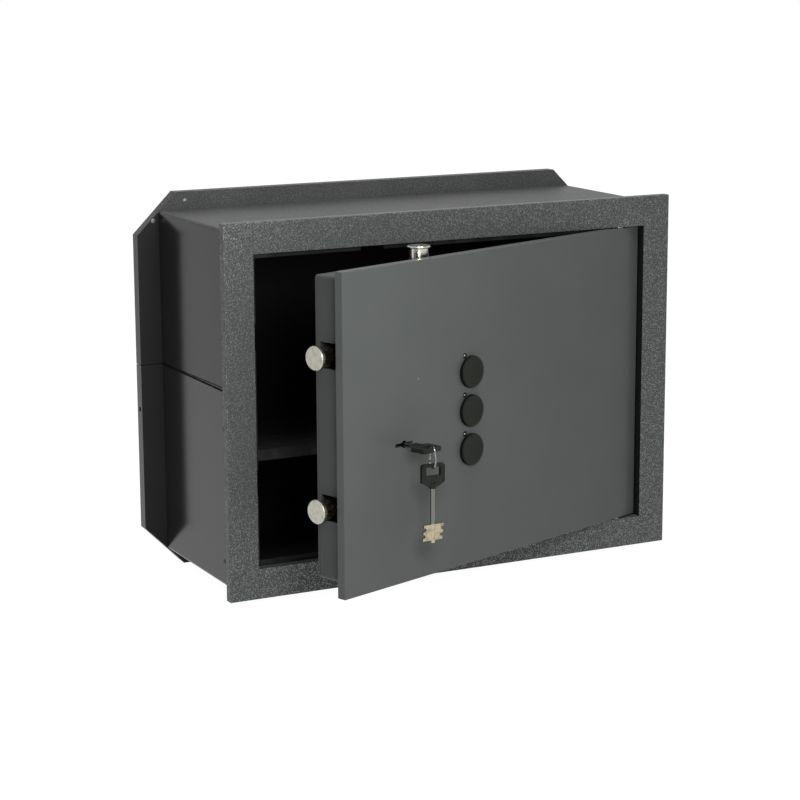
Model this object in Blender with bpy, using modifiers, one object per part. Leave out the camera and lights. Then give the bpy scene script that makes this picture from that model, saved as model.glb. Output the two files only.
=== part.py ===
"""Wall safe: housing with a rear anchor flange, ajar door, bolt work, three combination knobs and keys.

Metres, +Z up. The origin is the centre of the back panel's outer face, and the front faces -Y.
Pieces of the door are numbered in closed-door coordinates: X and Z as in the housing, and Y as the
depth behind the front face of the door plate. The door's own empty then swings them open.
"""

from dataclasses import dataclass
from math import cos, pi, radians, sin, sqrt

import bmesh
import bpy
from mathutils import Vector

# Fits and general values
FIT_GAP = 0.0003
OVERRUN = 0.004
MERGE = 0.000001
SHARP_ANGLE = radians(40)
ROUND_SIDES = 28
SMALL_SIDES = 16
CORNER_STEPS = 4
SLOT_STEPS = 6
RIM_STEPS = 36

# Housing
DEPTH = 0.186
FRAME_WIDTH = 0.458
FRAME_HEIGHT = 0.340
FRAME_THICKNESS = 0.009
FRAME_BORDER = 0.028
PLATE_EDGE = 0.0008
BODY_INSET = 0.0075
BODY_SHEET = 0.0025
BODY_BEND = 0.003
FLANGE_SIDE = 0.0215
FLANGE_TOP = 0.0165
FLANGE_CHAMFER = 0.0385
FLANGE_RETURN = 0.012
ANCHOR_HOLE_RADIUS = 0.0025
ANCHOR_HOLE_Z = -0.025
BACK_THICKNESS = 0.0035
SEAM_Z = 0.018
SEAM_GAP = 0.0006

# Door stop behind the frame
STOP_REACH = 0.005
STOP_BACKING = 0.011
STOP_THICKNESS = 0.003
STOP_END_FROM_PIVOT = 0.0105
STOP_NOTCH_CLEARANCE = 0.0015
STOP_NOTCH_PAST_EDGE = 0.001

# Shelf
SHELF_TOP_Z = -0.0506
SHELF_FRONT = 0.070
SHELF_SHEET = 0.002
SHELF_LIP = 0.010
SHELF_SIDE_GAP = 0.0008
SHELF_BACK_GAP = 0.0008
BRACKET_LEG = 0.012
BRACKET_SHEET = 0.002
BRACKET_SETBACK = 0.006

# Door
DOOR_AJAR = radians(19.8)
DOOR_GAP = 0.001
DOOR_THICKNESS = 0.009
PIVOT_INSET = 0.0245
PIN_RADIUS = 0.0025
PIN_DEPTH = 0.011
PIN_COLLAR_RADIUS = 0.004

# Lock box on the back of the door
BOX_HEAD_CLEARANCE = 0.0004
BOX_BOTTOM_MARGIN = 0.012
BOX_PIVOT_MARGIN = 0.012
BOX_DEPTH = 0.0267
BOX_SHEET = 0.002
BOX_BEND = 0.003
COVER_THICKNESS = 0.002
TAB_SIZE = 0.014
TAB_THICKNESS = 0.002
COVER_SCREW_RADIUS = 0.002
COVER_SCREW_LENGTH = 0.008
COVER_SCREW_HEAD_RADIUS = 0.004
COVER_SCREW_HEAD_HEIGHT = 0.0024
COVER_SCREW_SOCKET_RADIUS = 0.0015
COVER_SCREW_SOCKET_DEPTH = 0.0012
COVER_SCREW_EDGE = 0.0005

# Locking bolts; lengths named FROM_EDGE start at the left edge of the opening
THROW = 0.012
BOLT_DEPTH = 0.0242
BOLT_REACH = 0.009
BOLT_RADIUS = 0.0088
BOLT_HEAD_RADIUS = 0.0105
BOLT_HEAD_LENGTH = 0.004
TOP_BOLT_REACH = 0.007
TOP_BOLT_HEAD_LENGTH = 0.002
BOLT_HEAD_EDGE = 0.0007
BOLT_STUD_RADIUS = 0.0037
BOLT_STUD_LENGTH = 0.0115
SPIGOT_RADIUS = 0.0032
SPIGOT_PROUD = 0.0006
BOLT_NUT_FLATS = 0.013
BOLT_NUT_HEIGHT = 0.005
SIDE_BOLT_UPPER_Z = 0.067
SIDE_BOLT_LOWER_Z = -0.0655
TOP_BOLT_FROM_EDGE = 0.1203
BOLT_WINDOW = 0.0225
BOLT_WINDOW_DEPTH = 0.0190

# Bolt carriage
CARRIAGE_DEPTH = 0.013
CARRIAGE_THICKNESS = 0.003
CARRIAGE_HALF_HEIGHT = 0.102
CARRIAGE_RIGHT_FROM_EDGE = 0.141
CARRIAGE_BAR_FROM_EDGE = 0.033
CARRIAGE_BAR_WIDTH = 0.021
CARRIAGE_BAR_HALF_HEIGHT = 0.084
CARRIAGE_WINDOW_CLEARANCE = 0.001

# Studs that guide the carriage and the rod of the top bolt
STUD_RADIUS = 0.003
STUD_BASE_RADIUS = 0.006
STUD_HEAD_RADIUS = 0.0055
STUD_HEAD_HEIGHT = 0.002
STUD_RIGHT_Z = 0.086
STUD_LEFT_FROM_EDGE = 0.055
STUD_LEFT_UPPER_Z = 0.045
STUD_LEFT_LOWER_Z = -0.085

# Rod between the carriage and the top bolt
ROD_WIDTH = 0.016
ROD_THICKNESS = 0.004
ROD_END_Z = 0.117
ROD_INNER_Z = 0.063
ROD_FOOT_LENGTH = 0.015
ROD_PIN_Z = 0.070
ROD_PIN_RADIUS = 0.003
ROD_PIN_PROUD = 0.0005

# Lock case with key chamber
KEY_FROM_EDGE = 0.075
KEY_Z = -0.017
KEYHOLE_LENGTH = 0.0225
KEYHOLE_HEIGHT = 0.0032
KEYHOLE_EYE_RADIUS = 0.0034
CASE_LEFT = 0.018
CASE_RIGHT = 0.026
CASE_BELOW = 0.038
CASE_ABOVE = 0.038
CASE_WALL = 0.002
LOCK_BOLT_DEPTH = 0.022
LOCK_BOLT_THICKNESS = 0.004
LOCK_BOLT_BOTTOM = 0.013
LOCK_BOLT_HEIGHT = 0.012
LOCK_BOLT_INNER_FROM_EDGE = 0.063
LOCK_BOLT_OUTER_FROM_EDGE = 0.117
LOCK_BOLT_FOOT = 0.010
LEVER_COUNT = 4
LEVER_THICKNESS = 0.0014
LEVER_PITCH = 0.0034
LEVER_FIRST_DEPTH = 0.0205
LEVER_CLEARANCE = 0.0013
LEVER_TOP = 0.007
LEVER_BOTTOM = 0.034
LEVER_SIDE = 0.014
LEVER_POST_RADIUS = 0.003
LEVER_POST_FROM_EDGE = 0.087
LEVER_POST_Z = -0.044
LEVER_POST_DEPTH = 0.035

# Knobs, spindles and wheels
KNOB_FROM_EDGE = 0.1605
KNOB_MIDDLE_Z = -0.0004
KNOB_PITCH = 0.0352
KNOB_COUNT = 3
KNOB_RADIUS = 0.0145
KNOB_HEIGHT = 0.0042
KNOB_EDGE = 0.0012
KNOB_BORE_DEPTH = 0.0028
SPINDLE_RADIUS = 0.003
SPINDLE_SHOULDER_RADIUS = 0.0045
SPINDLE_TAIL = 0.0045
WHEEL_RADIUS = 0.0162
WHEEL_THICKNESS = 0.003
WHEEL_NOTCH_BOTTOM = 0.005
WHEEL_NOTCH_CLEARANCE = 0.0007
WHEEL_NUT_FLATS = 0.010
WHEEL_NUT_HEIGHT = 0.0035
FENCE_LEFT_FROM_EDGE = 0.123
FENCE_CLEARANCE = 0.0005
FENCE_NOSE_LENGTH = 0.0025
FENCE_NOSE_HALF_HEIGHT = 0.0025
FENCE_END_MARGIN = 0.008
FENCE_THICKNESS = 0.003
INDEX_LEFT = 0.0068
INDEX_UP = 0.0148
INDEX_RADIUS = 0.0011
INDEX_RECESS_RADIUS = 0.0026
INDEX_RECESS_DEPTH = 0.0012
INDEX_DEPTH = 0.006
INDEX_PROUD = 0.0004
INDEX_DOME = 0.0006

# Keys
KEY_SHAFT_RADIUS = 0.002
KEY_SHAFT_SHOWN = 0.0145
KEY_TIP_DEPTH = 0.035
KEY_NOSE = 0.002
KEY_BIT_LENGTH = 0.0145
KEY_BIT_HALF_WIDTH = 0.010
KEY_BIT_THICKNESS = 0.0022
KEY_BIT_FLANK = 0.0006
KEY_BIT_SHARES = (1.0, 0.76, 0.94, 0.66, 0.88)
KEY_TANG_LENGTH = 0.007
KEY_TANG_WIDTH = 0.006
KEY_TANG_THICKNESS = 0.0016
HEAD_LENGTH = 0.020
HEAD_HALF_WIDTH = 0.011
HEAD_THICKNESS = 0.004
HEAD_SHOULDER = 0.0038
HEAD_SHOULDER_HALF_WIDTH = 0.0045
HEAD_CORNER = 0.0022
HEAD_EDGE = 0.0004
HEAD_WEB = 0.0026
HEAD_HOLE_LENGTH = 0.008
HEAD_HOLE_HALF_WIDTH = 0.007
HEAD_HOLE_CORNER = 0.0008
HUB_RADIUS = 0.0034
HUB_LENGTH = 0.003
RING_RADIUS = 0.0096
RING_WIRE = 0.0008
RING_HALF_WIDTH = 0.0010
RING_GROOVE = 0.0003
RING_TURN = radians(31.8)
SPARE_TURN = radians(12.0)

# Sizes that follow from the values above
OPENING_X = FRAME_WIDTH / 2 - FRAME_BORDER
OPENING_Z = FRAME_HEIGHT / 2 - FRAME_BORDER
BODY_X = FRAME_WIDTH / 2 - BODY_INSET
BODY_Z = FRAME_HEIGHT / 2 - BODY_INSET
FRAME_FRONT_Y = -DEPTH
FRAME_BACK_Y = FRAME_FRONT_Y + FRAME_THICKNESS
BODY_FRONT_Y = FRAME_BACK_Y + FIT_GAP
BACK_INNER_Y = -BACK_THICKNESS
FLANGE_FRONT_Y = -FLANGE_RETURN
FLANGE_BACK_Y = FLANGE_FRONT_Y + BODY_SHEET
FLANGE_X = BODY_X + FLANGE_SIDE
FLANGE_Z = BODY_Z + FLANGE_TOP
DOOR_X = OPENING_X - DOOR_GAP
DOOR_Z = OPENING_Z - DOOR_GAP
PIVOT_X = OPENING_X - PIVOT_INSET
TOP_BOLT_X = -OPENING_X + TOP_BOLT_FROM_EDGE
CARRIAGE_RIGHT_X = -OPENING_X + CARRIAGE_RIGHT_FROM_EDGE
CARRIAGE_BAR_X = -OPENING_X + CARRIAGE_BAR_FROM_EDGE
STUD_LEFT_X = -OPENING_X + STUD_LEFT_FROM_EDGE
KEY_X = -OPENING_X + KEY_FROM_EDGE
LOCK_BOLT_INNER_X = -OPENING_X + LOCK_BOLT_INNER_FROM_EDGE
LOCK_BOLT_OUTER_X = -OPENING_X + LOCK_BOLT_OUTER_FROM_EDGE
LEVER_POST_X = -OPENING_X + LEVER_POST_FROM_EDGE
KNOB_X = -OPENING_X + KNOB_FROM_EDGE
FENCE_LEFT_X = -OPENING_X + FENCE_LEFT_FROM_EDGE
PIVOT_DEPTH = DOOR_THICKNESS / 2
BOX_LEFT_X = -OPENING_X + THROW + BOLT_HEAD_LENGTH + BOX_HEAD_CLEARANCE - BOLT_REACH
BOX_TOP_Z = OPENING_Z - THROW - TOP_BOLT_HEAD_LENGTH - BOX_HEAD_CLEARANCE + TOP_BOLT_REACH
BOX_RIGHT_X = PIVOT_X - BOX_PIVOT_MARGIN
BOX_BOTTOM_Z = -DOOR_Z + BOX_BOTTOM_MARGIN
BOX_FRONT = DOOR_THICKNESS + FIT_GAP
BOX_BACK = BOX_FRONT + BOX_DEPTH
COVER_FRONT = BOX_BACK + FIT_GAP
COVER_BACK = COVER_FRONT + COVER_THICKNESS
CARRIAGE_BACK = CARRIAGE_DEPTH + CARRIAGE_THICKNESS
BEHIND_CARRIAGE = CARRIAGE_BACK + FIT_GAP
SLOT_RADIUS = STUD_RADIUS + FIT_GAP
FENCE_TIP_X = KNOB_X - WHEEL_RADIUS - THROW - FENCE_CLEARANCE
FENCE_WEB_X = FENCE_TIP_X - FENCE_NOSE_LENGTH
SIDE_BOLTS = (("upper", SIDE_BOLT_UPPER_Z), ("lower", SIDE_BOLT_LOWER_Z))
KNOB_ZS = [KNOB_MIDDLE_Z + (1 - index) * KNOB_PITCH for index in range(KNOB_COUNT)]
HEAD_INNER_Y = -KEY_SHAFT_SHOWN
HEAD_OUTER_Y = HEAD_INNER_Y - HEAD_LENGTH
HOLE_OUTER_Y = HEAD_OUTER_Y + HEAD_WEB
HOLE_INNER_Y = HOLE_OUTER_Y + HEAD_HOLE_LENGTH


@dataclass
class Seat:
    """A reference that pieces are placed in: an empty and the coordinates it stands for."""

    empty: object
    origin: Vector


def clear_scene():
    """Remove every object of the scene."""
    for obj in list(bpy.data.objects):
        bpy.data.objects.remove(obj, do_unlink=True)


def new_collection(name):
    """Make a collection in the scene."""
    collection = bpy.data.collections.new(name)
    bpy.context.scene.collection.children.link(collection)
    return collection


def new_finish(name, color, roughness, metallic):
    """Make a Principled material."""
    material = bpy.data.materials.new(name)
    material.use_nodes = True
    shader = material.node_tree.nodes["Principled BSDF"]
    shader.inputs["Base Color"].default_value = (*color, 1.0)
    shader.inputs["Roughness"].default_value = roughness
    shader.inputs["Metallic"].default_value = metallic
    material.diffuse_color = (*color, 1.0)
    return material


clear_scene()
PARTS = new_collection("wall_safe")
GUIDES = new_collection("wall_safe_cutters")
HAMMERED = new_finish("hammered_paint", (0.075, 0.080, 0.078), 0.45, 0.3)
SATIN = new_finish("satin_paint", (0.085, 0.092, 0.090), 0.42, 0.2)
INNER_PAINT = new_finish("inner_paint", (0.020, 0.020, 0.020), 0.60, 0.0)
NICKEL = new_finish("nickel_plate", (0.62, 0.61, 0.56), 0.30, 1.0)
BRIGHT_STEEL = new_finish("bright_steel", (0.60, 0.60, 0.60), 0.28, 1.0)
ZINC = new_finish("zinc_plate", (0.50, 0.51, 0.52), 0.40, 1.0)
BRASS = new_finish("pale_brass", (0.66, 0.58, 0.40), 0.35, 1.0)
KNOB_PLASTIC = new_finish("knob_plastic", (0.022, 0.024, 0.021), 0.38, 0.0)
KEY_PLASTIC = new_finish("key_plastic", (0.020, 0.023, 0.021), 0.34, 0.0)


def new_seat(name, parent, at, origin, turn=(0, 0, 0)):
    """Make an empty on a joint axis.

    `at` is its place in the parent's coordinates, `origin` the coordinates that its own pieces use there.
    """
    empty = bpy.data.objects.new(name, None)
    GUIDES.objects.link(empty)
    empty.parent = parent.empty
    empty.location = Vector(at) - parent.origin
    empty.rotation_euler = turn
    empty.hide_render = True
    return Seat(empty, Vector(origin))


def add_object(name, mesh, seat, at, turn, finish):
    """Place a mesh in a seat; without a finish it is a cutter or an operand."""
    obj = bpy.data.objects.new(name, mesh)
    obj.parent = seat.empty
    obj.location = Vector(at) - seat.origin
    obj.rotation_euler = turn
    if finish is None:
        GUIDES.objects.link(obj)
        obj.hide_render = True
        obj.display_type = "WIRE"
    else:
        PARTS.objects.link(obj)
        mesh.materials.append(finish)
    return obj


def add_block(name, seat, low, high, finish=None):
    """Add a box between two corners."""
    low = Vector(low)
    high = Vector(high)
    size = high - low
    mesh = bpy.data.meshes.new(name)
    bm = bmesh.new()
    bmesh.ops.create_cube(bm, size=1)
    bmesh.ops.scale(bm, vec=size, verts=bm.verts)
    bm.to_mesh(mesh)
    bm.free()
    return add_object(name, mesh, seat, (low + high) / 2, (0, 0, 0), finish)


def add_rod(name, seat, radius, start, end, finish=None, sides=ROUND_SIDES):
    """Add a cylinder, or a prism with few sides, between two points."""
    start = Vector(start)
    end = Vector(end)
    run = end - start
    mesh = bpy.data.meshes.new(name)
    bm = bmesh.new()
    bmesh.ops.create_cone(bm, cap_ends=True, segments=sides, radius1=radius, radius2=radius, depth=run.length)
    bm.to_mesh(mesh)
    bm.free()
    mesh.shade_smooth()
    mesh.set_sharp_from_angle(angle=SHARP_ANGLE)
    turn = run.to_track_quat("Z", "Y").to_euler()
    return add_object(name, mesh, seat, (start + end) / 2, turn, finish)


def add_turned(name, seat, profile, at, direction, finish, sides=ROUND_SIDES):
    """Turn a profile of (radius, height) points, listed from the top down its outer side."""
    outline = bpy.data.meshes.new(name + "_profile")
    points = [(radius, 0, height) for radius, height in profile]
    outline.from_pydata(points, [(i, i + 1) for i in range(len(points) - 1)], [])
    blank = bpy.data.objects.new(name + "_blank", outline)
    GUIDES.objects.link(blank)
    screw = blank.modifiers.new("turn", "SCREW")
    screw.axis = "Z"
    screw.steps = sides
    screw.render_steps = sides
    screw.use_merge_vertices = True
    screw.merge_threshold = MERGE
    mesh = evaluated_mesh(blank)
    bpy.data.objects.remove(blank, do_unlink=True)
    mesh.shade_smooth()
    mesh.set_sharp_from_angle(angle=SHARP_ANGLE)
    turn = Vector(direction).to_track_quat("Z", "Y").to_euler()
    return add_object(name, mesh, seat, at, turn, finish)


def evaluated_mesh(obj):
    """Read an object's evaluated shape as a welded mesh with its faces pointing out."""
    depsgraph = bpy.context.evaluated_depsgraph_get()
    mesh = bpy.data.meshes.new_from_object(obj.evaluated_get(depsgraph))
    bm = bmesh.new()
    bm.from_mesh(mesh)
    bmesh.ops.remove_doubles(bm, verts=bm.verts, dist=MERGE)
    bmesh.ops.recalc_face_normals(bm, faces=bm.faces)
    bm.to_mesh(mesh)
    bm.free()
    return mesh


def outline_mesh(name, loops, thickness):
    """Fill flat closed loops, the later ones as holes, and give them a thickness."""
    curve = bpy.data.curves.new(name, "CURVE")
    curve.dimensions = "2D"
    curve.fill_mode = "BOTH"
    curve.extrude = thickness / 2
    for loop in loops:
        spline = curve.splines.new("POLY")
        spline.points.add(len(loop) - 1)
        for point, (across, up) in zip(spline.points, loop):
            point.co = (across, up, 0, 1)
        spline.use_cyclic_u = True
    blank = bpy.data.objects.new(name + "_blank", curve)
    GUIDES.objects.link(blank)
    mesh = evaluated_mesh(blank)
    bpy.data.objects.remove(blank, do_unlink=True)
    bpy.data.curves.remove(curve)
    mesh.shade_smooth()
    mesh.set_sharp_from_angle(angle=SHARP_ANGLE)
    return mesh


def add_upright(name, seat, loops, front, back, finish=None):
    """Add a plate whose outline lies in X and Z, from one depth to another."""
    mesh = outline_mesh(name, loops, back - front)
    return add_object(name, mesh, seat, (0, (front + back) / 2, 0), (pi / 2, 0, 0), finish)


def add_flat(name, seat, loops, thickness, finish=None):
    """Add a plate whose outline lies in X and Y, centred on Z zero."""
    mesh = outline_mesh(name, loops, thickness)
    return add_object(name, mesh, seat, (0, 0, 0), (0, 0, 0), finish)


def combine(target, operation, others):
    """Add an exact Boolean for each operand."""
    for other in others:
        modifier = target.modifiers.new(other.name, "BOOLEAN")
        modifier.operation = operation
        modifier.object = other
        modifier.solver = "EXACT"


def cut(target, *cutters):
    """Take the cutters away from the target."""
    combine(target, "DIFFERENCE", cutters)


def fuse(target, *others):
    """Join the operands to the target."""
    combine(target, "UNION", others)


def soften(target, width, segments=2):
    """Round the sharp edges."""
    bevel = target.modifiers.new("edge", "BEVEL")
    bevel.width = width
    bevel.segments = segments
    bevel.limit_method = "ANGLE"
    bevel.angle_limit = SHARP_ANGLE


def arc(centre, radius, start, end, steps):
    """Points of an arc in a plane."""
    angles = [start + (end - start) * step / steps for step in range(steps + 1)]
    return [(centre[0] + radius * cos(angle), centre[1] + radius * sin(angle)) for angle in angles]


def rectangle(low, high, corner=0.0):
    """Outline of a rectangle, with round corners if a radius is given."""
    if corner <= 0:
        return [(low[0], low[1]), (high[0], low[1]), (high[0], high[1]), (low[0], high[1])]
    points = []
    centres = [
        (high[0] - corner, low[1] + corner),
        (high[0] - corner, high[1] - corner),
        (low[0] + corner, high[1] - corner),
        (low[0] + corner, low[1] + corner),
    ]
    for quarter, centre in enumerate(centres):
        start = (quarter - 1) * pi / 2
        points += arc(centre, corner, start, start + pi / 2, CORNER_STEPS)
    return points


def slot(first, second, radius):
    """Outline of a straight slot with round ends between two points."""
    run = Vector(second) - Vector(first)
    angle = Vector((1, 0)).angle_signed(run) * -1
    points = arc(second, radius, angle - pi / 2, angle + pi / 2, SLOT_STEPS)
    return points + arc(first, radius, angle + pi / 2, angle + 3 * pi / 2, SLOT_STEPS)


def flange_outline(inset):
    """Outline of the rear flange, its corners cut at 45 degrees, drawn in by an inset."""
    half_width = FLANGE_X - inset
    half_height = FLANGE_Z - inset
    chamfer = FLANGE_CHAMFER - inset * (2 - sqrt(2))
    return [
        (half_width - chamfer, -half_height),
        (half_width, -half_height + chamfer),
        (half_width, half_height - chamfer),
        (half_width - chamfer, half_height),
        (-half_width + chamfer, half_height),
        (-half_width, half_height - chamfer),
        (-half_width, -half_height + chamfer),
        (-half_width + chamfer, -half_height),
    ]


def build_shells(house):
    """Upper and lower shell: walls with the rear flange, its return and anchor hole, parted at the seam."""
    walls = rectangle((-BODY_X, -BODY_Z), (BODY_X, BODY_Z), BODY_BEND)
    inner_x = BODY_X - BODY_SHEET
    inner_z = BODY_Z - BODY_SHEET
    hollow = rectangle((-inner_x, -inner_z), (inner_x, inner_z), BODY_BEND - BODY_SHEET)
    flange = add_upright("flange_blank", house, [flange_outline(0)], FLANGE_FRONT_Y, 0)
    cavity = add_upright("cavity", house, [hollow], BODY_FRONT_Y - OVERRUN, OVERRUN)
    recess = add_upright("flange_recess", house, [flange_outline(BODY_SHEET)], FLANGE_BACK_Y, OVERRUN)
    hole_y = (FLANGE_BACK_Y + BACK_INNER_Y) / 2
    start = (-FLANGE_X - OVERRUN, hole_y, ANCHOR_HOLE_Z)
    end = (-FLANGE_X + BODY_SHEET + OVERRUN, hole_y, ANCHOR_HOLE_Z)
    anchor_hole = add_rod("anchor_hole", house, ANCHOR_HOLE_RADIUS, start, end, sides=SMALL_SIDES)
    far_x = FLANGE_X + OVERRUN
    far_z = FLANGE_Z + OVERRUN
    near_y = BODY_FRONT_Y - OVERRUN
    halves = {
        "upper_shell": ((-far_x, near_y, -far_z), (far_x, OVERRUN, SEAM_Z + SEAM_GAP / 2)),
        "lower_shell": ((-far_x, near_y, SEAM_Z - SEAM_GAP / 2), (far_x, OVERRUN, far_z)),
    }
    for name, (low, high) in halves.items():
        other_half = add_block(name + "_parting", house, low, high)
        shell = add_upright(name, house, [walls], BODY_FRONT_Y, FLANGE_FRONT_Y + BODY_SHEET / 2, HAMMERED)
        fuse(shell, flange)
        cut(shell, cavity, recess, anchor_hole, other_half)


def build_back_panel(house):
    """Back panel, let into the flange's return."""
    outline = flange_outline(BODY_SHEET + FIT_GAP)
    add_upright("back_panel", house, [outline], BACK_INNER_Y, 0, HAMMERED)


def hinge_pin_bore(name, house, side, depth_y):
    """Cutter for a hinge pin's bore, open to both sides of the door gap."""
    start = (PIVOT_X, depth_y, side * (OPENING_Z - DOOR_GAP - PIN_DEPTH - FIT_GAP))
    end = (PIVOT_X, depth_y, side * (OPENING_Z + PIN_DEPTH + FIT_GAP))
    return add_rod(name, house, PIN_RADIUS + FIT_GAP, start, end, sides=SMALL_SIDES)


def build_front_frame(house):
    """Front frame plate with the door opening and the bores of the hinge pins."""
    low = (-FRAME_WIDTH / 2, FRAME_FRONT_Y, -FRAME_HEIGHT / 2)
    high = (FRAME_WIDTH / 2, FRAME_BACK_Y, FRAME_HEIGHT / 2)
    frame = add_block("front_frame", house, low, high, HAMMERED)
    soften(frame, PLATE_EDGE)
    low = (-OPENING_X, FRAME_FRONT_Y - OVERRUN, -OPENING_Z)
    high = (OPENING_X, FRAME_BACK_Y + OVERRUN, OPENING_Z)
    cut(frame, add_block("door_opening", house, low, high))
    for side, word in ((1, "top"), (-1, "bottom")):
        cut(frame, hinge_pin_bore("frame_bore_" + word, house, side, FRAME_FRONT_Y + PIVOT_DEPTH))


def build_hinge_pins(house):
    """Two hinge pins, held in the frame, with a collar that carries the door."""
    collar_half = DOOR_GAP / 2 - FIT_GAP
    length = PIN_DEPTH + DOOR_GAP / 2
    profile = [
        (0, length),
        (PIN_RADIUS, length),
        (PIN_RADIUS, collar_half),
        (PIN_COLLAR_RADIUS, collar_half),
        (PIN_COLLAR_RADIUS, -collar_half),
        (PIN_RADIUS, -collar_half),
        (PIN_RADIUS, -length),
        (0, -length),
    ]
    for side, word in ((1, "top"), (-1, "bottom")):
        at = (PIVOT_X, FRAME_FRONT_Y + PIVOT_DEPTH, side * (OPENING_Z - DOOR_GAP / 2))
        add_turned("hinge_pin_" + word, house, profile, at, (0, 0, 1), BRIGHT_STEEL, SMALL_SIDES)


def build_door_stop(house):
    """Door stop behind the frame, open at the hinge side, with gaps where the bolts swing past."""
    inner_x = OPENING_X - STOP_REACH
    inner_z = OPENING_Z - STOP_REACH
    outer_x = OPENING_X + STOP_BACKING
    outer_z = OPENING_Z + STOP_BACKING
    right_x = PIVOT_X - STOP_END_FROM_PIVOT
    outline = [
        (-outer_x, -outer_z),
        (right_x, -outer_z),
        (right_x, -inner_z),
        (-inner_x, -inner_z),
        (-inner_x, inner_z),
        (right_x, inner_z),
        (right_x, outer_z),
        (-outer_x, outer_z),
    ]
    front = FRAME_BACK_Y + FIT_GAP
    back = front + STOP_THICKNESS
    stop = add_upright("door_stop", house, [outline], front, back, HAMMERED)
    half = BOLT_HEAD_RADIUS + STOP_NOTCH_CLEARANCE
    edge_x = OPENING_X + STOP_NOTCH_PAST_EDGE
    for word, z in SIDE_BOLTS:
        low = (-edge_x, front - OVERRUN, z - half)
        high = (-inner_x + OVERRUN, back + OVERRUN, z + half)
        cut(stop, add_block("stop_notch_" + word, house, low, high))
    low = (TOP_BOLT_X - half, front - OVERRUN, inner_z - OVERRUN)
    high = (TOP_BOLT_X + half, back + OVERRUN, OPENING_Z + STOP_NOTCH_PAST_EDGE)
    cut(stop, add_block("stop_notch_top", house, low, high))


def build_shelf(house):
    """Shelf with a folded front lip, resting on two angle brackets."""
    wall_x = BODY_X - BODY_SHEET
    half = wall_x - SHELF_SIDE_GAP
    front = FRAME_FRONT_Y + SHELF_FRONT
    back = BACK_INNER_Y - SHELF_BACK_GAP
    low_z = SHELF_TOP_Z - SHELF_SHEET
    shelf = add_block("shelf", house, (-half, front, low_z), (half, back, SHELF_TOP_Z), INNER_PAINT)
    low = (-half, front, SHELF_TOP_Z - SHELF_LIP)
    high = (half, front + SHELF_SHEET, low_z + SHELF_SHEET / 2)
    fuse(shelf, add_block("shelf_lip", house, low, high))
    front += SHELF_SHEET + BRACKET_SETBACK
    back = FLANGE_FRONT_Y
    top = low_z - FIT_GAP
    for side, word in ((-1, "left"), (1, "right")):
        root = side * (wall_x - FIT_GAP)
        x_low, x_high = sorted((root, root - side * BRACKET_LEG))
        low = (x_low, front, top - BRACKET_SHEET)
        bracket = add_block("shelf_bracket_" + word, house, low, (x_high, back, top), INNER_PAINT)
        x_low, x_high = sorted((root, root - side * BRACKET_SHEET))
        low = (x_low, front, top - BRACKET_LEG)
        high = (x_high, back, top - BRACKET_SHEET / 2)
        fuse(bracket, add_block("bracket_leg_" + word, house, low, high))


def keyhole_cutter(name, seat, front, back, eye_radius):
    """Cutter for the keyhole: a level slot with a round eye."""
    half = KEYHOLE_LENGTH / 2
    low = (KEY_X - half, front, KEY_Z - KEYHOLE_HEIGHT / 2)
    high = (KEY_X + half, back, KEY_Z + KEYHOLE_HEIGHT / 2)
    cutter = add_block(name, seat, low, high)
    eye = add_rod(name + "_eye", seat, eye_radius, (KEY_X, front, KEY_Z), (KEY_X, back, KEY_Z))
    return cutter, eye


def build_door_plate(door):
    """Door plate with the keyhole, the spindle bores, the index recesses and the hinge bores."""
    low = (-DOOR_X, 0, -DOOR_Z)
    plate = add_block("door_plate", door, low, (DOOR_X, DOOR_THICKNESS, DOOR_Z), SATIN)
    soften(plate, PLATE_EDGE)
    cut(plate, *keyhole_cutter("plate_keyhole", door, -OVERRUN, DOOR_THICKNESS + OVERRUN, KEYHOLE_EYE_RADIUS))
    for number, z in enumerate(KNOB_ZS, 1):
        start = (KNOB_X, -OVERRUN, z)
        end = (KNOB_X, DOOR_THICKNESS + OVERRUN, z)
        cut(plate, add_rod(f"plate_bore_{number}", door, SPINDLE_RADIUS + FIT_GAP, start, end))
        x = KNOB_X - INDEX_LEFT
        up = z + INDEX_UP
        recess_end = (x, INDEX_RECESS_DEPTH, up)
        recess = add_rod(f"index_recess_{number}", door, INDEX_RECESS_RADIUS, (x, -OVERRUN, up), recess_end)
        bore_end = (x, INDEX_DEPTH + FIT_GAP, up)
        bore = add_rod(f"index_bore_{number}", door, INDEX_RADIUS + FIT_GAP, (x, -OVERRUN, up), bore_end)
        cut(plate, recess, bore)
    for side, word in ((1, "top"), (-1, "bottom")):
        cut(plate, hinge_pin_bore("door_bore_" + word, door, side, PIVOT_DEPTH))


def build_index_pins(door):
    """Bright index pins beside the knobs."""
    profile = [
        (0, INDEX_PROUD),
        (INDEX_RADIUS * cos(pi / 4), INDEX_PROUD - INDEX_DOME * (1 - sin(pi / 4))),
        (INDEX_RADIUS, INDEX_PROUD - INDEX_DOME),
        (INDEX_RADIUS, -INDEX_DEPTH),
        (0, -INDEX_DEPTH),
    ]
    for number, z in enumerate(KNOB_ZS, 1):
        at = (KNOB_X - INDEX_LEFT, 0, z + INDEX_UP)
        add_turned(f"index_pin_{number}", door, profile, at, (0, -1, 0), BRIGHT_STEEL, SMALL_SIDES)


def cover_screw_places():
    """Places of the cover screws: the middle of each corner tab."""
    inset = BOX_SHEET + TAB_SIZE / 2
    xs = (BOX_LEFT_X + inset, BOX_RIGHT_X - inset)
    zs = (BOX_BOTTOM_Z + inset, BOX_TOP_Z - inset)
    return [(x, z) for x in xs for z in zs]


def bolt_window(name, door, centre, size):
    """Cutter for a bolt's rectangular window in a wall of the lock box."""
    half = Vector(size) / 2
    return add_block(name, door, Vector(centre) - half, Vector(centre) + half)


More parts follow.
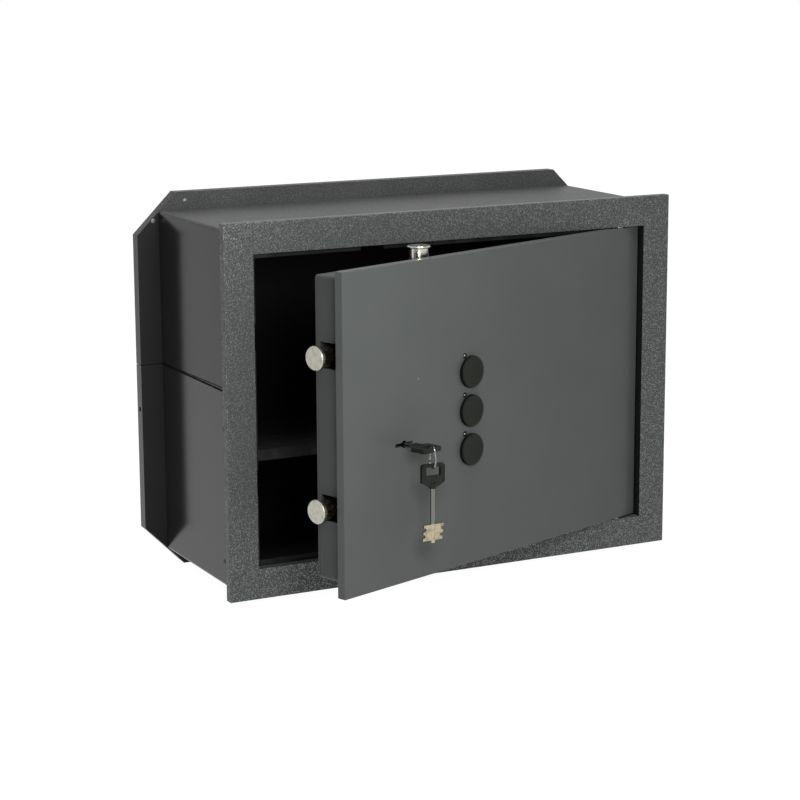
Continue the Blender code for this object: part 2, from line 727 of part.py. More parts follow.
def build_lock_box(door):
    """Lock box: a folded ring of sheet with corner tabs for the cover and windows for the bolts."""
    outer = rectangle((BOX_LEFT_X, BOX_BOTTOM_Z), (BOX_RIGHT_X, BOX_TOP_Z), BOX_BEND)
    left = BOX_LEFT_X + BOX_SHEET
    right = BOX_RIGHT_X - BOX_SHEET
    bottom = BOX_BOTTOM_Z + BOX_SHEET
    top = BOX_TOP_Z - BOX_SHEET
    inner = rectangle((left, bottom), (right, top), BOX_BEND - BOX_SHEET)
    box = add_upright("lock_box", door, [outer, inner], BOX_FRONT, BOX_BACK, SATIN)
    for number, (x, z) in enumerate(cover_screw_places(), 1):
        reach = TAB_SIZE / 2 + BOX_SHEET / 2
        near = TAB_SIZE / 2
        x_low, x_high = (x - reach, x + near) if x < 0 else (x - near, x + reach)
        z_low, z_high = (z - reach, z + near) if z < 0 else (z - near, z + reach)
        low = (x_low, BOX_BACK - TAB_THICKNESS, z_low)
        fuse(box, add_block(f"cover_tab_{number}", door, low, (x_high, BOX_BACK, z_high)))
    for number, (x, z) in enumerate(cover_screw_places(), 1):
        start = (x, BOX_FRONT, z)
        end = (x, COVER_BACK + OVERRUN, z)
        radius = COVER_SCREW_RADIUS + FIT_GAP
        cut(box, add_rod(f"cover_bore_{number}", door, radius, start, end, sides=SMALL_SIDES))
    across = 2 * (BOX_SHEET + OVERRUN)
    for word, z in SIDE_BOLTS:
        size = (across, BOLT_WINDOW_DEPTH, BOLT_WINDOW)
        cut(box, bolt_window("side_window_" + word, door, (BOX_LEFT_X, BOLT_DEPTH, z), size))
    size = (BOLT_WINDOW, BOLT_WINDOW_DEPTH, across)
    cut(box, bolt_window("top_window", door, (TOP_BOLT_X, BOLT_DEPTH, BOX_TOP_Z), size))


def build_rear_cover(door):
    """Cover plate on the back of the lock box, with its four screws."""
    outline = rectangle((BOX_LEFT_X, BOX_BOTTOM_Z), (BOX_RIGHT_X, BOX_TOP_Z), BOX_BEND)
    cover = add_upright("rear_cover", door, [outline], COVER_FRONT, COVER_BACK, SATIN)
    top = COVER_SCREW_HEAD_HEIGHT
    profile = [
        (0, top - COVER_SCREW_SOCKET_DEPTH),
        (COVER_SCREW_SOCKET_RADIUS, top - COVER_SCREW_SOCKET_DEPTH),
        (COVER_SCREW_SOCKET_RADIUS, top),
        (COVER_SCREW_HEAD_RADIUS - COVER_SCREW_EDGE, top),
        (COVER_SCREW_HEAD_RADIUS, top - COVER_SCREW_EDGE),
        (COVER_SCREW_HEAD_RADIUS, 0),
        (COVER_SCREW_RADIUS, 0),
        (COVER_SCREW_RADIUS, -COVER_SCREW_LENGTH),
        (0, -COVER_SCREW_LENGTH),
    ]
    for number, (x, z) in enumerate(cover_screw_places(), 1):
        cut(cover, bpy.data.objects[f"cover_bore_{number}"])
        at = (x, COVER_BACK + FIT_GAP, z)
        add_turned(f"cover_screw_{number}", door, profile, at, (0, 1, 0), ZINC, SMALL_SIDES)


def stud_places():
    """Places of the four guide studs, and whether each one also guides the rod of the top bolt."""
    return [
        (TOP_BOLT_X, STUD_RIGHT_Z, True),
        (TOP_BOLT_X, -STUD_RIGHT_Z, False),
        (STUD_LEFT_X, STUD_LEFT_UPPER_Z, False),
        (STUD_LEFT_X, STUD_LEFT_LOWER_Z, False),
    ]


def build_guide_studs(door):
    """Headed studs on the back of the door plate that the carriage slides on."""
    for number, (x, z, holds_rod) in enumerate(stud_places(), 1):
        grip = BEHIND_CARRIAGE
        if holds_rod:
            grip += ROD_THICKNESS + FIT_GAP
        base = BOX_FRONT
        profile = [
            (0, grip + STUD_HEAD_HEIGHT - base),
            (STUD_HEAD_RADIUS, grip + STUD_HEAD_HEIGHT - base),
            (STUD_HEAD_RADIUS, grip - base),
            (STUD_RADIUS, grip - base),
            (STUD_RADIUS, CARRIAGE_DEPTH - FIT_GAP - base),
            (STUD_BASE_RADIUS, CARRIAGE_DEPTH - FIT_GAP - base),
            (STUD_BASE_RADIUS, 0),
            (0, 0),
        ]
        add_turned(f"guide_stud_{number}", door, profile, (x, base, z), (0, 1, 0), ZINC, SMALL_SIDES)


def build_carriage(slide):
    """Bolt carriage: a slotted plate whose left edge is folded up into the bar of the side bolts."""
    bar_right = CARRIAGE_BAR_X + CARRIAGE_THICKNESS
    left = CARRIAGE_BAR_X + CARRIAGE_THICKNESS / 2
    height = CARRIAGE_HALF_HEIGHT
    gap = CARRIAGE_WINDOW_CLEARANCE
    window_low = (KEY_X - CASE_LEFT - THROW - gap, KEY_Z - CASE_BELOW - gap)
    window_high = (KEY_X + CASE_RIGHT + gap, KEY_Z + CASE_ABOVE + gap)
    loops = [rectangle((left, -height), (CARRIAGE_RIGHT_X, height)), rectangle(window_low, window_high)]
    for x, z, _ in stud_places():
        loops.append(slot((x - THROW, z), (x, z), SLOT_RADIUS))
    drawn = (TOP_BOLT_X - THROW, ROD_PIN_Z - THROW)
    loops.append(slot(drawn, (TOP_BOLT_X, ROD_PIN_Z), ROD_PIN_RADIUS + FIT_GAP))
    carriage = add_upright("carriage_plate", slide, loops, CARRIAGE_DEPTH, CARRIAGE_BACK, ZINC)
    low = (CARRIAGE_BAR_X, CARRIAGE_DEPTH, -CARRIAGE_BAR_HALF_HEIGHT)
    high = (bar_right, CARRIAGE_DEPTH + CARRIAGE_BAR_WIDTH, CARRIAGE_BAR_HALF_HEIGHT)
    fuse(carriage, add_block("carriage_bar", slide, low, high))
    for word, z in SIDE_BOLTS:
        start = (CARRIAGE_BAR_X - OVERRUN, BOLT_DEPTH, z)
        end = (bar_right + OVERRUN, BOLT_DEPTH, z)
        radius = BOLT_STUD_RADIUS + FIT_GAP
        cut(carriage, add_rod("bar_bore_" + word, slide, radius, start, end, sides=SMALL_SIDES))


def bolt_profile(length, head_length, stud_radius, stud_length):
    """Profile of a locking bolt: a wider head, the shank and a stud at the inner end."""
    head = BOLT_HEAD_RADIUS
    return [
        (0, 0),
        (head - BOLT_HEAD_EDGE, 0),
        (head, -BOLT_HEAD_EDGE),
        (head, -head_length + BOLT_HEAD_EDGE),
        (head - BOLT_HEAD_EDGE, -head_length),
        (BOLT_RADIUS, -head_length),
        (BOLT_RADIUS, -length),
        (stud_radius, -length),
        (stud_radius, -length - stud_length),
        (0, -length - stud_length),
    ]


def add_nut(name, seat, flats, bore_radius, start, end, finish):
    """Add a six-sided nut between two points."""
    start = Vector(start)
    end = Vector(end)
    run = (end - start).normalized() * OVERRUN
    nut = add_rod(name, seat, flats / sqrt(3), start, end, finish, sides=6)
    cut(nut, add_rod(name + "_bore", seat, bore_radius, start - run, end + run, sides=SMALL_SIDES))


def build_side_bolts(slide):
    """Two side bolts, each held to the carriage bar by a nut."""
    end_x = -OPENING_X - BOLT_REACH
    length = CARRIAGE_BAR_X - FIT_GAP - end_x
    nut_x = CARRIAGE_BAR_X + CARRIAGE_THICKNESS + FIT_GAP
    for word, z in SIDE_BOLTS:
        at = (end_x, BOLT_DEPTH, z)
        profile = bolt_profile(length, BOLT_HEAD_LENGTH, BOLT_STUD_RADIUS, BOLT_STUD_LENGTH)
        add_turned("side_bolt_" + word, slide, profile, at, (-1, 0, 0), NICKEL)
        start = (nut_x, BOLT_DEPTH, z)
        end = (nut_x + BOLT_NUT_HEIGHT, BOLT_DEPTH, z)
        bore = BOLT_STUD_RADIUS + FIT_GAP
        add_nut("side_bolt_nut_" + word, slide, BOLT_NUT_FLATS, bore, start, end, ZINC)


def build_top_bolt(slide):
    """The top bolt, riveted to its rod, with the cam pin that runs in the carriage's slanted slot."""
    half = ROD_WIDTH / 2
    back = BEHIND_CARRIAGE + ROD_THICKNESS
    foot_z = ROD_END_Z - ROD_THICKNESS
    loops = [
        rectangle((TOP_BOLT_X - half, ROD_INNER_Z), (TOP_BOLT_X + half, foot_z + ROD_THICKNESS / 2)),
        slot((TOP_BOLT_X, STUD_RIGHT_Z), (TOP_BOLT_X, STUD_RIGHT_Z + THROW), SLOT_RADIUS),
    ]
    rod = add_upright("top_bolt_rod", slide, loops, BEHIND_CARRIAGE, back, ZINC)
    low = (TOP_BOLT_X - half, BEHIND_CARRIAGE, foot_z)
    high = (TOP_BOLT_X + half, BEHIND_CARRIAGE + ROD_FOOT_LENGTH, ROD_END_Z)
    foot = add_block("rod_foot", slide, low, high)
    start = (TOP_BOLT_X, CARRIAGE_DEPTH - ROD_PIN_PROUD, ROD_PIN_Z)
    end = (TOP_BOLT_X, BEHIND_CARRIAGE + ROD_THICKNESS / 2, ROD_PIN_Z)
    fuse(rod, foot, add_rod("cam_pin", slide, ROD_PIN_RADIUS, start, end, sides=SMALL_SIDES))
    start = (TOP_BOLT_X, BOLT_DEPTH, foot_z - OVERRUN)
    end = (TOP_BOLT_X, BOLT_DEPTH, ROD_END_Z + OVERRUN)
    cut(rod, add_rod("foot_bore", slide, SPIGOT_RADIUS + FIT_GAP, start, end, sides=SMALL_SIDES))
    end_z = OPENING_Z + TOP_BOLT_REACH
    length = end_z - ROD_END_Z - FIT_GAP
    spigot_length = ROD_THICKNESS + FIT_GAP + SPIGOT_PROUD
    profile = bolt_profile(length, TOP_BOLT_HEAD_LENGTH, SPIGOT_RADIUS, spigot_length)
    add_turned("top_bolt", slide, profile, (TOP_BOLT_X, BOLT_DEPTH, end_z), (0, 0, 1), NICKEL)


def build_fence(slide):
    """Fence on the carriage: three noses that face the wheels' notches, short of them at full travel."""
    web_x = FENCE_WEB_X
    nose = FENCE_NOSE_HALF_HEIGHT
    top = KNOB_ZS[0] + FENCE_END_MARGIN
    bottom = KNOB_ZS[-1] - FENCE_END_MARGIN
    outline = [(FENCE_LEFT_X, top), (FENCE_LEFT_X, bottom), (web_x, bottom)]
    for z in reversed(KNOB_ZS):
        outline += [(web_x, z - nose), (FENCE_TIP_X, z - nose), (FENCE_TIP_X, z + nose), (web_x, z + nose)]
    outline.append((web_x, top))
    add_upright("fence", slide, [outline], BEHIND_CARRIAGE, BEHIND_CARRIAGE + FENCE_THICKNESS, ZINC)


def build_lock_bolt(slide):
    """Lock bolt: a bar that slides through the lock case, its foot on the carriage plate."""
    bottom = KEY_Z + LOCK_BOLT_BOTTOM
    top = bottom + LOCK_BOLT_HEIGHT
    back = LOCK_BOLT_DEPTH + LOCK_BOLT_THICKNESS
    low = (LOCK_BOLT_INNER_X, LOCK_BOLT_DEPTH, bottom)
    bar = add_block("lock_bolt", slide, low, (LOCK_BOLT_OUTER_X, back, top), BRASS)
    low = (LOCK_BOLT_OUTER_X - LOCK_BOLT_FOOT, BEHIND_CARRIAGE, bottom)
    high = (LOCK_BOLT_OUTER_X, LOCK_BOLT_DEPTH + LOCK_BOLT_THICKNESS / 2, top)
    fuse(bar, add_block("lock_bolt_foot", slide, low, high))


def build_lock_case(door):
    """Lock case: a tray on the door plate, closed by the rear cover, with keyhole and lock bolt window."""
    low = Vector((KEY_X - CASE_LEFT, BOX_FRONT, KEY_Z - CASE_BELOW))
    high = Vector((KEY_X + CASE_RIGHT, BOX_BACK, KEY_Z + CASE_ABOVE))
    case = add_block("lock_case", door, low, high, ZINC)
    wall = Vector((CASE_WALL, CASE_WALL, CASE_WALL))
    inner_high = (high.x - CASE_WALL, high.y + OVERRUN, high.z - CASE_WALL)
    cut(case, add_block("case_hollow", door, low + wall, inner_high))
    floor_end = BOX_FRONT + CASE_WALL + OVERRUN
    eye = KEY_SHAFT_RADIUS + FIT_GAP
    cut(case, *keyhole_cutter("case_keyhole", door, BOX_FRONT - OVERRUN, floor_end, eye))
    bottom = KEY_Z + LOCK_BOLT_BOTTOM
    low = (high.x - CASE_WALL - OVERRUN, LOCK_BOLT_DEPTH - FIT_GAP, bottom - FIT_GAP)
    back = LOCK_BOLT_DEPTH + LOCK_BOLT_THICKNESS + FIT_GAP
    top = bottom + LOCK_BOLT_HEIGHT + FIT_GAP
    cut(case, add_block("case_window", door, low, (high.x + OVERRUN, back, top)))


def build_levers(door):
    """Lever pack: four thin levers on a post, hollowed where the bit of the key turns."""
    start = (LEVER_POST_X, BOX_FRONT + CASE_WALL + FIT_GAP, LEVER_POST_Z)
    end = (LEVER_POST_X, LEVER_POST_DEPTH, LEVER_POST_Z)
    pack = add_rod("lever_pack", door, LEVER_POST_RADIUS, start, end, BRASS, SMALL_SIDES)
    low = (KEY_X - LEVER_SIDE, KEY_Z - LEVER_BOTTOM)
    high = (KEY_X + LEVER_SIDE, KEY_Z - LEVER_TOP)
    outline = rectangle(low, high, LEVER_POST_RADIUS)
    radius = KEY_BIT_HALF_WIDTH + LEVER_CLEARANCE
    for index in range(LEVER_COUNT):
        front = LEVER_FIRST_DEPTH + index * LEVER_PITCH
        fuse(pack, add_upright(f"lever_{index + 1}", door, [outline], front, front + LEVER_THICKNESS))
    start = (KEY_X, BOX_FRONT, KEY_Z)
    cut(pack, add_rod("key_sweep", door, radius, start, (KEY_X, COVER_BACK, KEY_Z)))


def build_knob(number, seat, z):
    """A combination knob with its spindle, notched wheel and nut."""
    top = KNOB_HEIGHT
    bore = SPINDLE_RADIUS + FIT_GAP
    profile = [
        (0, top),
        (KNOB_RADIUS - KNOB_EDGE, top),
        (KNOB_RADIUS - KNOB_EDGE * (1 - sin(pi / 4)), top - KNOB_EDGE * (1 - sin(pi / 4))),
        (KNOB_RADIUS, top - KNOB_EDGE),
        (KNOB_RADIUS, FIT_GAP),
        (bore, FIT_GAP),
        (bore, KNOB_BORE_DEPTH),
        (0, KNOB_BORE_DEPTH),
    ]
    add_turned(f"knob_{number}", seat, profile, (KNOB_X, 0, z), (0, -1, 0), KNOB_PLASTIC, RIM_STEPS)
    wheel_back = BEHIND_CARRIAGE + WHEEL_THICKNESS
    shoulder_end = BEHIND_CARRIAGE - FIT_GAP
    tail = wheel_back + FIT_GAP + SPINDLE_TAIL
    profile = [
        (0, tail),
        (SPINDLE_RADIUS, tail),
        (SPINDLE_RADIUS, shoulder_end),
        (SPINDLE_SHOULDER_RADIUS, shoulder_end),
        (SPINDLE_SHOULDER_RADIUS, BOX_FRONT),
        (SPINDLE_RADIUS, BOX_FRONT),
        (SPINDLE_RADIUS, -KNOB_BORE_DEPTH + FIT_GAP),
        (0, -KNOB_BORE_DEPTH + FIT_GAP),
    ]
    add_turned(f"spindle_{number}", seat, profile, (KNOB_X, 0, z), (0, 1, 0), ZINC, SMALL_SIDES)
    half = FENCE_NOSE_HALF_HEIGHT + WHEEL_NOTCH_CLEARANCE
    centre = (KNOB_X, z)
    mouth = Vector((sqrt(WHEEL_RADIUS**2 - half**2), half)).angle_signed(Vector((1, 0)))
    rim = arc(centre, WHEEL_RADIUS, -pi + mouth, pi - mouth, RIM_STEPS)
    bottom_x = KNOB_X - WHEEL_NOTCH_BOTTOM
    outline = rim + [(bottom_x, z + half), (bottom_x, z - half)]
    hole = arc(centre, bore, 0, 2 * pi, SMALL_SIDES)[:-1]
    add_upright(f"wheel_{number}", seat, [outline, hole], BEHIND_CARRIAGE, wheel_back, BRASS)
    start = (KNOB_X, wheel_back + FIT_GAP, z)
    end = (KNOB_X, wheel_back + FIT_GAP + WHEEL_NUT_HEIGHT, z)
    add_nut(f"wheel_nut_{number}", seat, WHEEL_NUT_FLATS, bore, start, end, ZINC)


def bit_outline():
    """Outline of the double bit: steps of unlike width, the same on both sides but end for end."""
    first = KEY_TIP_DEPTH - KEY_NOSE - KEY_BIT_LENGTH
    step = KEY_BIT_LENGTH / len(KEY_BIT_SHARES)
    right = []
    left = []
    for index, share in enumerate(KEY_BIT_SHARES):
        near = first + index * step
        far = near + step
        right += [(KEY_BIT_HALF_WIDTH * share, near), (KEY_BIT_HALF_WIDTH * share, far - KEY_BIT_FLANK)]
        share = KEY_BIT_SHARES[-1 - index]
        left += [(-KEY_BIT_HALF_WIDTH * share, near + KEY_BIT_FLANK), (-KEY_BIT_HALF_WIDTH * share, far)]
    return right + left[::-1]


def build_key(word, seat):
    """A double-bit key: blade along +Y with its tang in a plastic head."""
    blade = add_flat(word + "_blade", seat, [bit_outline()], KEY_BIT_THICKNESS, BRASS)
    shaft = add_rod(
        word + "_shaft",
        seat,
        KEY_SHAFT_RADIUS,
        (0, HEAD_INNER_Y + FIT_GAP - KEY_TANG_LENGTH / 2, 0),
        (0, KEY_TIP_DEPTH, 0),
        sides=SMALL_SIDES,
    )
    half = (KEY_TANG_WIDTH / 2, KEY_TANG_THICKNESS / 2)
    low = (-half[0], HEAD_INNER_Y - KEY_TANG_LENGTH, -half[1])
    tang = add_block(word + "_tang", seat, low, (half[0], HEAD_INNER_Y - HUB_LENGTH, half[1]))
    fuse(blade, shaft, tang)
    shoulder_y = HEAD_INNER_Y - HEAD_SHOULDER
    corner_x = HEAD_HALF_WIDTH - HEAD_CORNER
    corner_y = HEAD_OUTER_Y + HEAD_CORNER
    outline = [
        (HEAD_SHOULDER_HALF_WIDTH, HEAD_INNER_Y),
        (-HEAD_SHOULDER_HALF_WIDTH, HEAD_INNER_Y),
        (-HEAD_HALF_WIDTH, shoulder_y),
        *arc((-corner_x, corner_y), HEAD_CORNER, pi, 3 * pi / 2, CORNER_STEPS),
        *arc((corner_x, corner_y), HEAD_CORNER, -pi / 2, 0, CORNER_STEPS),
        (HEAD_HALF_WIDTH, shoulder_y),
    ]
    head = add_flat(word + "_head", seat, [outline], HEAD_THICKNESS, KEY_PLASTIC)
    soften(head, HEAD_EDGE)
    low = (-HEAD_HOLE_HALF_WIDTH, HOLE_OUTER_Y)
    high = (HEAD_HOLE_HALF_WIDTH, HOLE_INNER_Y)
    hole = add_flat(word + "_head_hole", seat, [rectangle(low, high, HEAD_HOLE_CORNER)], 2 * HEAD_THICKNESS)
    hub_end = (0, HEAD_INNER_Y - HUB_LENGTH, 0)
    hub = add_rod(word + "_hub", seat, HUB_RADIUS, (0, HEAD_INNER_Y + HUB_LENGTH / 2, 0), hub_end)
    fuse(head, hub)
    bore_radius = KEY_SHAFT_RADIUS + FIT_GAP
    bore_end = (0, HEAD_INNER_Y - KEY_TANG_LENGTH / 2 - FIT_GAP, 0)
    bore = add_rod(word + "_hub_bore", seat, bore_radius, (0, HEAD_INNER_Y + OVERRUN, 0), bore_end)
    low = (-half[0] - FIT_GAP, HEAD_INNER_Y - KEY_TANG_LENGTH - FIT_GAP, -half[1] - FIT_GAP)
    high = (half[0] + FIT_GAP, HEAD_INNER_Y - HUB_LENGTH + FIT_GAP, half[1] + FIT_GAP)
    pocket = add_block(word + "_pocket", seat, low, high)
    cut(head, hole, bore, pocket)


def ring_centre():
    """Place of the key ring's centre, hanging on the web at the end of the key's head."""
    web_y = HEAD_OUTER_Y + HEAD_WEB / 2
    spread = HEAD_WEB / 2 / cos(RING_TURN) + RING_HALF_WIDTH * sin(RING_TURN) / cos(RING_TURN)
    inner = RING_RADIUS - RING_WIRE
    drop = sqrt(inner**2 - spread**2)
    return (KEY_X, web_y, KEY_Z + HEAD_THICKNESS / 2 + FIT_GAP - drop)


def build_ring(seat):
    """Split ring: its groove shows where the two turns lie side by side."""
    inner = RING_RADIUS - RING_WIRE
    outer = RING_RADIUS + RING_WIRE
    half = RING_HALF_WIDTH
    edge = RING_WIRE / 2
    section = [
        (RING_RADIUS, half),
        (outer - edge / 2, half - edge / 2),
        (outer, half / 2),
        (outer - RING_GROOVE, 0),
        (outer, -half / 2),
        (outer - edge / 2, -half + edge / 2),
        (RING_RADIUS, -half),
        (inner + edge / 2, -half + edge / 2),
        (inner, -half / 2),
        (inner, half / 2),
        (inner + edge / 2, half - edge / 2),
        (RING_RADIUS, half),
    ]
    add_turned("split_ring", seat, section, (0, 0, 0), (1, 0, 0), BRIGHT_STEEL, RIM_STEPS)


def main():
    """Build the safe."""
    house = Seat(None, Vector((0, 0, 0)))
    build_shells(house)
    build_back_panel(house)
    build_front_frame(house)
    build_hinge_pins(house)
    build_door_stop(house)
    build_shelf(house)

    pivot = (PIVOT_X, PIVOT_DEPTH, 0)
    door_at = (PIVOT_X, FRAME_FRONT_Y + PIVOT_DEPTH, 0)
    door = new_seat("door_pivot", house, door_at, pivot, (0, 0, DOOR_AJAR))
    build_door_plate(door)
    build_index_pins(door)
    build_lock_box(door)
    build_rear_cover(door)
    build_guide_studs(door)
    build_lock_case(door)
    build_levers(door)

    slide_at = (CARRIAGE_BAR_X, BOLT_DEPTH, 0)
    slide = new_seat("carriage_axis", door, slide_at, slide_at)
    build_carriage(slide)
    build_side_bolts(slide)
    build_fence(slide)
    build_lock_bolt(slide)
    bolt_at = (TOP_BOLT_X, BOLT_DEPTH, ROD_END_Z)
    build_top_bolt(new_seat("top_bolt_axis", door, bolt_at, bolt_at))

    for number, z in enumerate(KNOB_ZS, 1):
        knob_at = (KNOB_X, 0, z)
        build_knob(number, new_seat(f"knob_axis_{number}", door, knob_at, knob_at), z)

    key_axis = new_seat("key_axis", door, (KEY_X, 0, KEY_Z), (0, 0, 0))
    build_key("key", key_axis)
    centre = Vector(ring_centre()) - Vector((KEY_X, 0, KEY_Z))
    ring_axis = new_seat("ring_axis", key_axis, centre, (0, 0, 0), (0, 0, -RING_TURN))
    build_ring(ring_axis)
    inner = RING_RADIUS - RING_WIRE
    dip = inner - sqrt(inner**2 - (HEAD_THICKNESS / 2 + RING_HALF_WIDTH * sin(SPARE_TURN)) ** 2)
    hang_y = HOLE_OUTER_Y + FIT_GAP + RING_WIRE + dip
    spare_turn = (-pi / 2, 0, SPARE_TURN)
    spare_axis = new_seat("spare_axis", ring_axis, (0, 0, -RING_RADIUS), (0, hang_y, 0), spare_turn)
    build_key("spare_key", spare_axis)


main()
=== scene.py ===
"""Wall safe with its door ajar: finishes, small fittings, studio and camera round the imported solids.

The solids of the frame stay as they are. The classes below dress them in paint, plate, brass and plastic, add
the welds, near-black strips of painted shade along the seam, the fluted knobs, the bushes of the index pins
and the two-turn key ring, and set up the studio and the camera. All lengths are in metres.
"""

import logging
from dataclasses import dataclass, field
from enum import Enum
from math import cos, pi, radians, sin

import bmesh
import bpy
from mathutils import Matrix, Vector


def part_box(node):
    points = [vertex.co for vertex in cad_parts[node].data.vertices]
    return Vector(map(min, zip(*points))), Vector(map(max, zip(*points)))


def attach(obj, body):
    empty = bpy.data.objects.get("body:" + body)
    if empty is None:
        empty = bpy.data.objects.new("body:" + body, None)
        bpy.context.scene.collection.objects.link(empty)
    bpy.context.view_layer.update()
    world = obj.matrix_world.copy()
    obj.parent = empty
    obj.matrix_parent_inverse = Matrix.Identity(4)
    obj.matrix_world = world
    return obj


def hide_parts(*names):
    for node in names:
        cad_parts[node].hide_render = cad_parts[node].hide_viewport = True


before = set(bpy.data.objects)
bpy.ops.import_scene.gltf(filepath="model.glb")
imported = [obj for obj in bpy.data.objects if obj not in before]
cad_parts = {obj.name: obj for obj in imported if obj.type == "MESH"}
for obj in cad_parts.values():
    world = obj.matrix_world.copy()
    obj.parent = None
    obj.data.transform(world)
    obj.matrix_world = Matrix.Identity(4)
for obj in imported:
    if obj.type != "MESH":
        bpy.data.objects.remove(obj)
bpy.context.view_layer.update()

Color = tuple[float, float, float]
Point = tuple[float, float, float]
Pair = tuple[float, float]
Socket = bpy.types.NodeSocket
LOG = logging.getLogger("wall_safe")
PHOTO_SIDE = 800
SHARP_ANGLE = radians(50)
MERGE_DISTANCE = 0.000001


class Body(Enum):
    """Bodies that new pieces ride on."""

    HOUSING = "housing"
    DOOR = "door"
    KNOB_SET_1 = "knob_set_1"
    KNOB_SET_2 = "knob_set_2"
    KNOB_SET_3 = "knob_set_3"
    KEY_RING = "key_ring"


class Slot(Enum):
    """Material slot names of the record; nothing in this script uses them."""

    HAMMERED = "hammered_paint"
    INNER = "inner_paint"
    STEEL = "bright_steel"
    KNOB = "knob_plastic"


class Noise(Enum):
    """Kinds of procedural grain."""

    CLOUD = "ShaderNodeTexNoise"
    CELL = "ShaderNodeTexVoronoi"


@dataclass(frozen=True)
class Patches:
    """Cloudy patches: size of a feature, the range of the cloud they span, finer octaves and full share."""

    size: float
    low: float
    high: float
    detail: float = 2.0
    share: float = 1.0


@dataclass(frozen=True)
class Relief:
    """Fine relief of a surface: size of its grain, depth, strength, finer octaves and kind of grain."""

    size: float
    depth: float
    strength: float
    detail: float = 2.0
    kind: Noise = Noise.CLOUD


